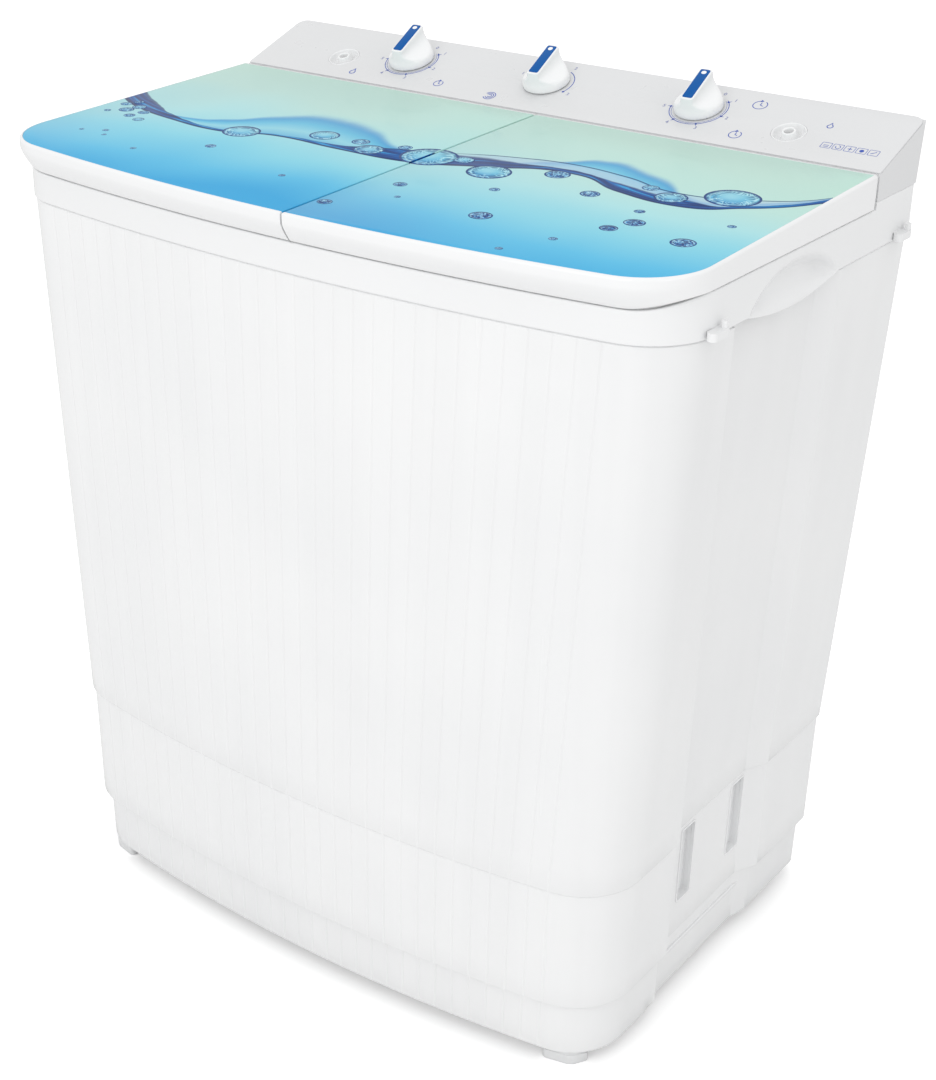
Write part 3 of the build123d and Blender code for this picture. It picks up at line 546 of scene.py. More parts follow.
def plastic(name, colour, roughness, spread=0.01, bump=0.02, specular=0.5):
    """Moulded plastic: faint cloudy tone, uneven gloss and a fine orange-peel skin."""
    s = Shader(name)
    cloud = s.noise(scale=6.0, detail=3.0)
    s.set("Base Color", s.tones(cloud, shift(colour, -spread), shift(colour, spread * 0.6)))
    gloss = s.noise(scale=40.0, detail=4.0)
    s.set("Roughness", s.scaled(gloss, by=roughness * 0.5, plus=roughness * 0.75))
    s.set("Specular IOR Level", specular)
    s.set("Coat Roughness", 0.08)
    s.bump(s.noise(scale=900.0, detail=2.0), strength=bump, distance=0.0004)
    return s.material


def metal(name, colour, roughness, stretch):
    """Metal with streaks in its tone and gloss, drawn out by the stretch."""
    s = Shader(name)
    streak = s.noise(scale=10.0, detail=4.0, stretch=stretch)
    s.set("Base Color", s.tones(streak, shift(colour, -0.06), shift(colour, 0.06)))
    s.set("Metallic", 1.0)
    s.set("Roughness", s.scaled(streak, by=0.25, plus=roughness - 0.1))
    s.bump(streak, strength=0.15, distance=0.0002)
    return s.material


def enamel(name, colour, roughness):
    s = Shader(name)
    mottle = s.noise(scale=30.0, detail=5.0)
    s.set("Base Color", s.tones(mottle, shade(colour, 0.8), shade(colour, 1.15)))
    s.set("Roughness", s.scaled(mottle, by=0.2, plus=roughness - 0.1))
    s.bump(s.noise(scale=700.0, detail=3.0), strength=0.12, distance=0.0003)
    return s.material


def rubber(name, colour, roughness=0.75):
    s = Shader(name)
    mottle = s.noise(scale=120.0, detail=5.0)
    s.set("Base Color", s.tones(mottle, shade(colour, 0.7), shade(colour, 1.3), end=0.75))
    s.set("Roughness", s.scaled(mottle, by=0.2, plus=roughness - 0.1))
    s.bump(s.noise(scale=1500.0, detail=2.0), strength=0.2, distance=0.0003)
    return s.material


def fluted_shell():
    """Glossy white: faint cloudy tone and long, soft upright flow marks in its gloss."""
    s = Shader("white_fluted_shell")
    cloud = s.noise(scale=5.0, detail=3.0)
    flow = s.noise(scale=1.0, detail=2.0, stretch=(45.0, 20.0, 1.6))
    base = s.tones(cloud, (0.795, 0.80, 0.805), (0.825, 0.828, 0.83))
    marks = s.tones(flow, (0.988, 0.988, 0.988), (1, 1, 1), start=0.40, end=0.60)
    s.set("Base Color", s.mix(1.0, base, marks, "MULTIPLY"))
    s.set("Roughness", s.scaled(flow, by=0.10, plus=0.20))
    s.bump(s.noise(scale=900.0, detail=2.0), strength=0.03, distance=0.0004)
    return s.material


# plastics: name, colour, roughness, then tone spread and skin bump where not the usual
WHITE = plastic("white_gloss_shell", (0.81, 0.815, 0.82), 0.20, spread=0.012, bump=0.03)
LID_WHITE = plastic("white_lid_rim", (0.83, 0.835, 0.84), 0.16)
KNOB_WHITE = plastic("white_knob", (0.84, 0.845, 0.85), 0.14)
CUP_WHITE = plastic("inlet_cup_white", (0.83, 0.835, 0.84), 0.22)
FASCIA = plastic("fascia_grey", (0.695, 0.70, 0.708), 0.30, spread=0.012, bump=0.04)
TUB = plastic("tub_polypropylene", (0.80, 0.81, 0.82), 0.34, spread=0.02, bump=0.08)
GREY = plastic("grey_moulding", (0.40, 0.42, 0.44), 0.38, spread=0.03, bump=0.1)
PULSATOR = plastic("pulsator_blue_grey", (0.42, 0.52, 0.60), 0.28, spread=0.03, bump=0.06)
BLUE = plastic("blue_insert", (0.004, 0.098, 0.355), 0.15, spread=0.006, specular=0.12)
INK = plastic("blue_print", (0.020, 0.075, 0.42), 0.45)
VIOLET_INK = plastic("violet_print", (0.16, 0.19, 0.42), 0.45)
DOT_WHITE = plastic("white_dot", (0.9, 0.9, 0.9), 0.3)
FOOT_GREY = plastic("foot_rubber_light", (0.70, 0.705, 0.71), 0.5, spread=0.02, bump=0.05)
BLACK_RUBBER = rubber("black_rubber", (0.03, 0.03, 0.032))
GREY_RUBBER = rubber("grey_rubber", (0.25, 0.26, 0.27))
STEEL = metal("steel", (0.55, 0.56, 0.57), roughness=0.3, stretch=(4.0, 4.0, 300.0))
ZINC = metal("zinc_sheet", (0.50, 0.51, 0.53), roughness=0.42, stretch=(40, 40, 40))
ALLOY = metal("cast_alloy", (0.62, 0.63, 0.64), roughness=0.45, stretch=(60, 60, 60))
MOTOR = enamel("motor_enamel", (0.05, 0.055, 0.06), roughness=0.45)
SHELL = fluted_shell()

# CAD nodes that stay as they are, with their materials
KEPT_NODES = {
    "rear_panel": WHITE, "rear_panel_screws": STEEL, "wash_tub": TUB, "spin_tub": TUB,
    "lint_filter": TUB, "hose_clips": WHITE, "fill_tubes": GREY_RUBBER,
    "wash_timer": GREY, "mode_switch": GREY, "spin_timer": GREY,
    "wash_bearing_housing": ALLOY, "drive_belt": BLACK_RUBBER,
    "wash_motor": MOTOR, "wash_motor_bracket": ZINC, "spin_motor": MOTOR,
    "motor_springs": STEEL, "motor_mounts": GREY, "spin_shaft_seal": BLACK_RUBBER,
    "brake_post": ZINC, "drain_valve_body": GREY, "drain_hose": GREY_RUBBER,
    "drain_outlet": GREY, "spin_drain_tube": GREY_RUBBER, "capacitor": ALLOY,
    "wiring_loom": BLACK_RUBBER, "power_cord": BLACK_RUBBER, "wash_lid_pins": STEEL,
    "spin_lid_pins": STEEL, "wash_timer_shaft": STEEL, "mode_shaft": STEEL,
    "spin_timer_shaft": STEEL, "pulsator": PULSATOR, "pulsator_shaft": STEEL,
    "drive_pulley": ALLOY, "motor_pulley": ALLOY, "wash_motor_shaft": STEEL,
    "spin_basket": TUB, "balance_ring": GREY, "spin_shaft": STEEL, "brake_drum": ZINC,
    "brake_lever": ZINC, "brake_shoe": BLACK_RUBBER, "drain_plunger": BLACK_RUBBER,
}
for node_name, node_material in KEPT_NODES.items():
    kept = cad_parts[node_name]
    if not kept.material_slots:
        kept.data.materials.append(node_material)
    for material_slot in kept.material_slots:
        material_slot.material = node_material


# ------------------------------------------------------------------ body shell and base
def recess_depth(y, start, end, deep):
    """Depth of the side recess: steep front wall, long ramp at the back, softened edges."""
    def raw(v):
        if v <= start - 0.5 or v >= end:
            return 0.0
        if v < start + 2.0:
            return deep * (v - start + 0.5) / 2.5
        if v > end - RECESS_RAMP:
            return deep * (end - v) / RECESS_RAMP
        return deep
    softening = 1.6
    return float(np.mean([raw(y + softening * q) for q in np.linspace(-1, 1, 9)]))


def flute_depth(x, ny, width):
    """Upright grooves that follow the taper and fade out round the front corners."""
    phase = (x / width * BODY_HIGH.width / FLUTE_PITCH) % 1.0
    from_groove = abs(phase - 0.5) * 2
    return 0.5 * (1 - smooth(from_groove / 0.15)) * min(max((-ny - 0.80) / 0.12, 0), 1)


def recess_stations(outline, start, end):
    """Side stations, back to front, that follow the recess edges from level to level."""
    ramp_end, ramp_start = end + 3, end - RECESS_RAMP - 3
    wall_end, wall_start = start + 5, start - 3
    spans = (
        (outline.back - 17, ramp_end, np.linspace(1, 0, 7)[:-1]),
        (ramp_end, ramp_start, np.linspace(1, 0, 13)),
        (ramp_start, wall_end, np.linspace(1, 0, 7)[1:-1]),
        (wall_end, wall_start, np.linspace(1, 0, 9)),
        (wall_start, outline.fillet_y + 1, np.linspace(1, 0, 6)[1:]),
    )
    return [low + (high - low) * q for high, low, shares in spans for q in shares]


def casing_ring(outline, z, recess, deep, inset):
    start, end = recess
    side_ys = recess_stations(outline, start, end)
    if inset > 0:
        start, end = start - 3, end + 3
    ring = []
    for x, y, nx, ny, on_side in plan_points(outline, inset, CASING_FRONT_STEPS, side_ys):
        depth = recess_depth(y, start, end, deep) if on_side else 0.0
        if inset == 0:
            depth += flute_depth(x, ny, outline.width)
        ring.append((x - nx * depth, y - ny * depth, z))
    return ring


def casing(name, levels, node):
    """Closed two-skin shell. Levels: (outline, z, recess, recess depth, inset), upwards."""
    outer = [casing_ring(*level) for level in levels]
    inner = [casing_ring(*level[:-1], level[-1] + CASING_WALL) for level in levels[::-1]]
    ob = loft(name, outer + inner, SHELL, looped=True)
    install(ob, node)
    return ob


def build_body():
    stations = [(BASE_TOP, 1.2), (BASE_TOP + 0.5, 0.4), (BASE_TOP + 1.4, 0.0)]  # z, inset
    stations += [(z, 0.0) for z in np.linspace(BASE_TOP + 30, BODY_TOP - 2.4, 10)]
    stations += [(BODY_TOP - 1.8, 0.25), (BODY_TOP - 1.3, 0.9), (BODY_TOP - 1.0, 1.5),
                 (BODY_TOP - 0.05, 1.6)]
    levels = []
    for z, inset in stations:
        share = (z - BASE_TOP) / (BODY_TOP - BASE_TOP)
        outline = Outline(*blend(BODY_LOW, BODY_HIGH, share))
        levels.append((outline, z, blend(*BODY_RECESS, share), RECESS_DEPTH, inset))
    body = casing("body_visual", levels, "body_shell")
    # opening behind the rear panel
    cut(body, [cutter(rounded_rect(0, 390, 470, 300, 12), "y", 225, 245)])


def build_base():
    plinth_deep, deep = PLINTH_RECESS_DEPTH, RECESS_DEPTH
    # outline, z, recess depth, inset
    stations = [(PLINTH_LOW, BASE_BOTTOM, plinth_deep, 1.2),
                (PLINTH_LOW, BASE_BOTTOM + 0.4, plinth_deep, 0.3),
                (PLINTH_LOW, BASE_BOTTOM + 1.4, plinth_deep, 0)]
    stations += [(Outline(*blend(PLINTH_LOW, PLINTH_HIGH, (z - 15) / 60)), z, plinth_deep, 0)
                 for z in (35, 55, 72, 75)]
    stations += [(BASE_LOW, PLINTH_TOP, deep, 1.4), (BASE_LOW, PLINTH_TOP + 0.5, deep, 0.4),
                 (BASE_LOW, PLINTH_TOP + 1.5, deep, 0)]
    stations += [(Outline(*blend(BASE_LOW, BASE_HIGH, (z - PLINTH_TOP) / BASE_TAPER)), z, deep, 0)
                 for z in (100, 120, 140, 160, 180, 200)]
    stations += [(BASE_HIGH, BASE_TOP - 1.0, deep, 0), (BASE_HIGH, BASE_TOP, deep, 0.8)]
    low, high = BASE_RECESS_Z
    levels = [(outline, z, blend(*BASE_RECESS, (z - low) / (high - low)), depth, inset)
              for outline, z, depth, inset in stations]
    base = casing("base_visual", levels, "base")
    cutters = [cutter(rounded_rect(y, SLOT_Z, 25.2, 83.2, 3.0), "x", s * 330 - 18, s * 330 + 18)
               for y in SLOT_Y for s in (-1, 1)]
    # two round holes in the back
    cutters.append(cutter(circle(-285, 110, 13.2, 40), "y", 225, 245))
    cutters.append(cutter(circle(290, 130, 7.0, 32), "y", 225, 245))
    cut(base, cutters)


def build_base_floor():
    """Floor of the base with two rings of six vents."""
    vents = []
    for cx, cy in ((-25.0, 70.0), (163.0, -3.0)):
        for k in range(6):
            a = math.radians(60 * k)
            vents.append(circle(cx + 17 * math.cos(a), cy + 17 * math.sin(a), 5, 24))
    flat_plate("base_floor", 56, 60, [plan_loop(PLINTH_LOW, 3.2)] + vents, 0.4, "base")


def build_ribs():
    """Crossed ribs below the floor: five run front to back, two rows run between them."""
    half, gap, row_end = 1.5, 1.6, 318
    bottom, top = 15.2, 57
    rib_x = (-220, -110, 0, 110, 220)
    boxes = [(x - half, x + half, -195, 215) for x in rib_x]
    starts = [-row_end] + [x + gap for x in rib_x]
    ends = [x - gap for x in rib_x] + [row_end]
    for y in (-90, 110):
        boxes += [(x0, x1, y - half, y + half) for x0, x1 in zip(starts, ends)]
    verts, faces = [], []
    for x0, x1, y0, y1 in boxes:
        k = len(verts)
        verts += [(x, y, z) for z in (bottom, top)
                  for x, y in ((x0, y0), (x1, y0), (x1, y1), (x0, y1))]
        faces += [(k, k + 3, k + 2, k + 1), (k + 4, k + 5, k + 6, k + 7)]
        faces += band_faces(4, [(0, 1)], first=k)
    ribs = new_mesh("base_ribs", verts, faces, WHITE)
    bevel(ribs, 0.5)
    install(ribs, "base")


def build_foot(name, cx, cy):
    """Low rounded block, pulled in where it would cross the plinth's outline."""
    limit = plan_loop(PLINTH_LOW, 1.2)
    anchor_x, anchor_y = cx * 0.92, cy + (14 if cy < 0 else 0)
    points = []
    for x, y in rounded_rect(cx, cy, 40, 26, 6, 8):
        if not contains(limit, x, y):
            dx, dy = x - anchor_x, y - anchor_y
            low, high = 0.0, 1.0
            for _ in range(14):
                middle = (low + high) / 2
                if contains(limit, anchor_x + dx * middle, anchor_y + dy * middle):
                    low = middle
                else:
                    high = middle
            x, y = anchor_x + dx * low, anchor_y + dy * low
        points.append((x, y))
    mx, my = (sum(p[axis] for p in points) / len(points) for axis in (0, 1))
    # scale about the middle, z
    profile = ((0.95, 0.0), (0.985, 0.35), (1.0, 1.2), (1.0, 10.0), (0.985, 10.5),
               (0.93, 10.6), (0.93, BASE_BOTTOM + 0.6))
    rings = [[(mx + (x - mx) * k, my + (y - my) * k, z) for x, y in points] for k, z in profile]
    ob = loft(name, rings, FOOT_GREY)
    split_normals(ob, 40)
    install(ob, "rubber_feet")


def recess_x(z):
    """Half-width of the base at the bottom of its side recess."""
    widening = (BASE_HIGH.width - BASE_LOW.width) * (z - PLINTH_TOP) / BASE_TAPER
    return (BASE_LOW.width + widening) / 2 - RECESS_DEPTH


def build_slot_pocket(name, side, y):
    """Shallow two-skin pocket behind a side slot."""
    outer = rounded_rect(y, SLOT_Z, 27, 85, 3.5)
    inner = rounded_rect(y, SLOT_Z, 24.2, 82.2, 2.5)
    wall = recess_x(SLOT_Z)
    n = len(outer)
    verts = [(side * (wall + dx), py, pz)
             for ring, dx in ((outer, -2.6), (outer, -9.4), (inner, -8.2), (inner, -2.6))
             for py, pz in ring]
    faces = band_faces(n, ((0, 1), (2, 3), (3, 0)))
    faces += [tuple(n + i for i in range(n)), tuple(2 * n + i for i in range(n - 1, -1, -1))]
    ob = new_mesh(name, verts, faces, WHITE)
    clean(ob)
    split_normals(ob, 35)
    install(ob, "base")


def build_slot_edge(name, side, y):
    """Raised edge round a side slot, following the sloping wall."""
    outer = rounded_rect(y, SLOT_Z, 28, 86, 4.0)
    inner = rounded_rect(y, SLOT_Z, 24, 82, 2.5)
    rings = [[(side * (recess_x(pz) + dx), py, pz) for py, pz in ring]
             for ring, dx in ((outer, -0.6), (outer, 0.9), (inner, 0.9), (inner, -2.9))]
    ob = loft(name, rings, WHITE, looped=True)
    bevel(ob, 0.35)
    install(ob, "base")


SIDES = ((-1, "l"), (1, "r"))
build_body()
build_base()
build_base_floor()
build_ribs()
for side, letter in SIDES:
    build_foot(f"foot_front_{letter}", side * 290.0, -180.0)
    build_foot(f"foot_rear_{letter}", side * 290.0, 205.0)
for label_stem, build_part in (("slot_pocket", build_slot_pocket), ("slot_edge", build_slot_edge)):
    for side, letter in SIDES:
        for k, y in enumerate(SLOT_Y):
            build_part(f"{label_stem}_{letter}{k}", side, y)


# ------------------------------------------------------------------ top frame
def lip_z(y):
    """Lower edge of the frame's sides, sagging below the grip."""
    e = (y + 3) / 85
    return BODY_TOP - 11 * (1 - e * e) if abs(e) < 1 else BODY_TOP


def grip_depth(y, z):
    """Side grip: a smooth bowl between an arched top edge and the sagging lip below."""
    e = (y + 3) / 98
    if abs(e) >= 1:
        return 0.0
    arch = 694 + 74 * math.sqrt(1 - e * e)
    height = arch - lip_z(y)
    if z >= arch or height < 1:
        return 0.0
    s = min((arch - z) / height, 1.0)
    bowl = smooth(s / 0.42) if s < 0.42 else 1 - 0.92 * smooth((s - 0.42) / 0.58)
    return 12.0 * bowl * smooth(height / 32)


def round_front(nx, ny):
    """0 on the sides, 1 across the front, easing round the front corners."""
    if ny >= 0:
        return 0.0
    return smooth((math.atan2(-ny, abs(nx)) / math.radians(81) - 0.12) / 0.75)


def build_frame_band():
    """Band round the top, with a thin lip rising inside its front edge."""
    side_ys = [*np.linspace(223, CONSOLE_FRONT + 0.2, 8), CONSOLE_FRONT - 0.3,
               *np.linspace(140, 96, 6), *np.linspace(93, -99, 97), *np.linspace(-103, -132, 5)]

    def ring(inset, share=1.0, at_least=0.0):
        """Ring at a share of the band's height, but no lower than at_least."""
        points = []
        for x, y, nx, ny, on_side in plan_points(FRAME, inset, 120, side_ys):
            bottom = lip_z(y) if on_side else BODY_TOP
            top = LEDGE_TOP if y > CONSOLE_FRONT - 0.2 else DECK
            top -= LIP_DROP * round_front(nx, ny)
            z = max(bottom + (top - bottom) * share, at_least)
            depth = grip_depth(y, z) if on_side else 0.0
            points.append((x - nx * depth, y, z))
        return points

    # share of the height, inset
    outer = [(0.0, 1.0), (0.006, 0.4), (0.022, 0.0)]
    outer += [(u, 0.0) for u in np.linspace(0.05, 0.93, 26)]
    outer += [(0.962, 0.0), (0.982, 0.35), (0.995, 1.0), (1.0, 2.0), (1.0, 3.7)]
    # inset, lowest z
    lip = [(3.9, DECK - 8), (3.9, DECK - 1.0), (4.1, DECK - 0.3), (4.5, DECK + 0.1),
           (5.6, DECK + 0.1)]
    rings = [ring(inset, share) for share, inset in outer]
    rings += [ring(inset, at_least=z) for inset, z in lip]
    rings += [ring(5.6, share) for share in (*np.linspace(0.86, 0.06, 14), 0.0)]
    ob = loft("top_frame_band", rings, WHITE, looped=True)
    split_normals(ob, 32)
    install(ob, "top_frame")


def build_deck():
    """Deck with its two tub openings and rear slot, and the raised ledge at the back."""
    slot = rounded_rect(0, 198, 640, 52, 10)
    wash_opening = rounded_rect(-178, -28, 322, 280, 48, 16)
    spin_opening = circle(183, -28, 130, 120)
    loops = [plan_loop(FRAME, 4.9), wash_opening, spin_opening, slot]
    flat_plate("top_deck", DECK - 4, DECK, loops, 0.8, "top_frame")
    inset, front = 1.2, CONSOLE_FRONT + 0.4
    half = FRAME.width / 2 - inset
    ledge = [p for p in plan_loop(FRAME, inset) if p[1] > front]
    ledge.sort(key=lambda p: math.atan2(p[1] - front, p[0]))
    ledge = [(half, front)] + ledge + [(-half, front)]
    flat_plate("top_ledge", DECK + 0.05, LEDGE_TOP, [ledge, slot], 0.5, "top_frame")


def build_hinge_ear(name, x):
    profile = [(133.5, 772.5), (138.5, 772.5), (138.5, 792.4)]  # y, z
    for j in range(25):
        a = math.radians(-57 + 294 * j / 24)
        profile.append((HINGE_Y + 4.6 * math.cos(a), HINGE_Z + 4.6 * math.sin(a)))
    profile.append((133.5, 792.4))
    ear = prism(name, profile, "x", x - 4, x + 4, WHITE)
    cut(ear, [cutter(circle(HINGE_Y, HINGE_Z, 2.56, 40), "x", x - 6, x + 6)])
    bevel(ear, 0.5, angle=40)
    install(ear, "top_frame")


build_frame_band()
build_deck()
for k, x in enumerate(HINGE_X):
    build_hinge_ear(f"hinge_ear_{k + 1}", x)


# ------------------------------------------------------------------ lid rims
# Both lids are worked out as the right-hand one and mirrored for the left.
def lid_stations():
    """(stretch, share along it): from the back of the side round to the back corner."""
    seam = [0, 0.0012, 0.0025, 0.0040, 0.0050, 0.0052, 0.0065, 0.0080, 0.0087, 0.0092,
            0.02, 0.035]
    seam += [k / 20 for k in range(1, 20)] + [0.975, 0.9850, 0.9856, 0.992]
    stations = [("side", 1 - k / 20) for k in range(20)]
    stations += [("corner", k / 22) for k in range(22)]
    stations += [("front", k / 90) for k in range(90)]
    stations += [("seam", q) for q in seam]
    stations += [("rear", k / 40) for k in range(40)]
    stations += [("rear corner", k / 5) for k in range(5)]
    return stations


LID_STATIONS = lid_stations()


def lid_point(kind, share, insets, seam_x):
    """Plan point; insets are from the outer, the seam and the rear edge."""
    outer, seam, rear = insets
    half = LID.width / 2 - outer
    back = LID.back - rear
    if kind == "side":
        end = LID.back - max(LID.back_radius, rear)
        return half, LID.fillet_y + (end - LID.fillet_y) * share
    if kind == "corner":
        a = LID.fillet_angle * share
        radius = LID.front_radius - outer
        return LID.fillet_x + radius * math.cos(a), LID.fillet_y + radius * math.sin(a)
    edge = seam_x + seam
    if kind == "front":
        start = (LID.bow_radius - outer) * math.cos(LID.fillet_angle)
        x = start + (edge - start) * share
        return x, LID.front_y(x, outer)
    if kind == "seam":
        start = LID.front_y(edge, outer)
        return edge, start + (back - start) * share
    radius = max(LID.back_radius - max(outer, rear), 0.01)
    cx, cy = half - radius, back - radius
    if kind == "rear":
        return edge + (cx - edge) * share, back
    a = math.pi / 2 * (1 - share)
    return cx + radius * math.cos(a), cy + radius * math.sin(a)


def frontness(kind, share):
    if kind == "front":
        return 1.0
    if kind == "corner":
        return smooth((share - 0.12) / 0.75)
    if kind == "seam":
        return 1.0 - smooth(share / 0.045)
    return 0.0


def rear_cut(z):
    """Inset of the rear wall, easing out to nothing near the top."""
    return 4.2 * min(max((786 - z) / 8, 0.0), 1.0)


class RimSpot:
    """One station of a lid rim, with what its cross-section depends on."""

    def __init__(self, kind, share, seam_x):
        self.kind, self.share, self.seam_x = kind, share, seam_x
        self.front = frontness(kind, share)
        hang = float(share < 0.0051) if kind == "seam" else self.front
        self.bottom = LID_BOTTOM - LIP_DROP * hang
        self.top = 795.0  # first guess, until the point is known

    def point(self, insets):
        return lid_point(self.kind, self.share, insets, self.seam_x)

    def tuck(self, z):
        """How far the front lip is tucked in below its rounded nose."""
        low, high = LID_BOTTOM - LIP_DROP * self.front, self.top - 8.6
        share = min(max((z - low) / (high - low), 0), 1)
        return self.front * 11.0 * (1 - share) ** 1.35

    def under_pane(self, outer):
        """Whether the rim stays under the pane, so that the two panes meet at the seam."""
        if self.kind != "seam":
            return False
        x, y = self.point((outer, 0, 0))
        return y - LID.front_y(x) > 3.02 and y < LID.back - 5.0


def rim_rings(side, seam_x):
    rings = []

    def add(section, hung=False):
        """section(spot) gives three insets and z, or if hung the drop below the top plane."""
        ring = []
        for kind, share in LID_STATIONS:
            spot = RimSpot(kind, share, seam_x)
            spot.top = lid_z(spot.point(section(spot)[:3])[1])
            *insets, height = section(spot)
            x, y = spot.point(insets)
            ring.append((side * x, y, lid_z(y) - height if hung else height))
        rings.append(ring)

    def outer_wall(spot, share):
        foot = spot.bottom + 0.8
        z = foot + (spot.top - 8 - foot) * share
        return spot.tuck(z), 0.0, rear_cut(z), z

    def nose(spot, turn):
        across, down = 1 - math.cos(turn), 1 - math.sin(turn)
        outer = 2.85 * across
        if spot.under_pane(outer):
            return outer, 0.5 * across, 4.4 * across, 4.4 + 0.5 * down
        radius = {"seam": 1.0, "rear": 4.4, "rear corner": 4.4}.get(spot.kind, 2.85)
        return outer, 1.0 * across, 4.4 * across, radius * down

    def seat_edge(spot):
        return 2.98, 1.16, 4.96, 4.45 if spot.under_pane(2.98) else 0.06

    def seat(spot):
        low = spot.under_pane(2.98)
        return 2.98, 1.2 if low else 1.16, 4.96, 4.5 if low else 4.1

    def inner_wall(spot, share):
        ceiling = spot.top - 7.1
        z = ceiling - (ceiling - spot.bottom) * share
        return spot.tuck(z) + 3.0, 3.0, rear_cut(z) + 3.1, z

    add(lambda spot: (spot.tuck(spot.bottom) + 1.0, 0.5, 4.9, spot.bottom))
    add(lambda spot: (spot.tuck(spot.bottom + 0.7) + 0.1, 0.0, 4.2, spot.bottom + 0.8))
    for j in range(1, 13):
        add(lambda spot: outer_wall(spot, j / 13))
    add(lambda spot: (0.0, 0.0, rear_cut(spot.top - 8), 8.0), hung=True)
    for j in range(7):
        add(lambda spot: nose(spot, math.pi / 2 * j / 6), hung=True)
    add(seat_edge, hung=True)
    add(seat, hung=True)
    # inner edge of the ledge below the pane
    for section in ((23.6, 22.0, 23.6, 4.1), (24.0, 22.4, 24.0, 4.5), (24.0, 22.4, 24.0, 7.0)):
        add(lambda spot: section, hung=True)
    add(lambda spot: (spot.tuck(spot.top - 7.1) + 3.0, 3.0, 3.2, 7.1), hung=True)
    for j in range(1, 10):
        add(lambda spot: inner_wall(spot, j / 10))
    add(lambda spot: (spot.tuck(spot.bottom) + 2.8, 2.8, 7.2, spot.bottom))
    return rings


def mirrored_seam(side):
    """Seam edge of a lid once it is mirrored to the right."""
    return SEAM_HALF + side * SEAM


def build_lid_rim(name, side, node, body):
    rim = loft(name, rim_rings(side, mirrored_seam(side)), LID_WHITE, looped=True)
    ears = HINGE_X[2:] if side > 0 else HINGE_X[:2]
    slots = [[(x - 5.3, 130), (x + 5.3, 130), (x + 5.3, 150), (x - 5.3, 150)] for x in ears]
    cut(rim, [cutter(slot, "z", 765, 801.5) for slot in slots], angle=32)
    install(rim, node, body)
    # bearing lugs either side of each ear
    profile = [(131, 791.4), (141.4, 791.4), (141.4, 799.4), (131, 798.6)]  # y, z
    for k, ear_x in enumerate(ears):
        for j, x in enumerate((ear_x - 10.5, ear_x + 5.5)):
            lug = prism(f"{name}_lug{k}{j}", profile, "x", x, x + 5, LID_WHITE)
            cut(lug, [cutter(circle(HINGE_Y, HINGE_Z, 2.51, 40), "x", x - 1, x + 6)])
            bevel(lug, 0.4)
            install(lug, node, body)


build_lid_rim("wash_lid_rim", -1, "wash_lid_frame", "wash_lid")
build_lid_rim("spin_lid_rim", 1, "spin_lid_frame", "spin_lid")


# ------------------------------------------------------------------ printed glass
def dye(*srgb):
    """Linear colour of an 8-bit sRGB dye, printed a shade under its value."""
    def linear(v):
        v /= 255.0
        return v / 12.92 if v <= 0.04045 else ((v + 0.055) / 1.055) ** 2.4
    return tuple(linear(v) * k for v, k in zip(srgb, (0.90, 0.945, 0.87)))


# position across the lids 0..1, then mm
SWELL_LINE = [  # y of the swell line
    (0.0, -40), (0.06, -62), (0.13, -74), (0.22, -80), (0.30, -62), (0.40, -64), (0.50, -62),
    (0.60, -34), (0.70, -8), (0.78, -30), (0.86, -38), (0.93, -12), (1.0, 44)]
SWELL_THICKNESS = [
    (0.0, 30), (0.06, 24), (0.11, 11), (0.17, 5), (0.24, 3.5), (0.32, 4), (0.39, 10),
    (0.45, 28), (0.52, 36), (0.60, 25), (0.67, 9), (0.72, 8), (0.79, 20), (0.86, 20),
    (0.93, 7), (1.0, 22)]
CREST_HEIGHT = [
    (0.0, 0), (0.12, 10), (0.20, 42), (0.29, 88), (0.37, 80), (0.46, 40), (0.54, 26),
    (0.62, 22), (0.70, 52), (0.78, 66), (0.85, 34), (0.93, 18), (1.0, 20)]
VEIL_LINE = [  # y of the veil's back edge
    (0.0, -60), (0.5, -22), (0.60, 4), (0.68, 16), (0.76, 10), (0.84, -6), (0.92, 10),
    (1.0, 62)]


def finish_gloss(s):
    s.set("Roughness", 0.35)
    s.set("Specular IOR Level", 0.04)
    s.set("Coat Weight", 0.14)
    s.set("Coat Roughness", 0.03)
    s.set("Coat IOR", 1.40)


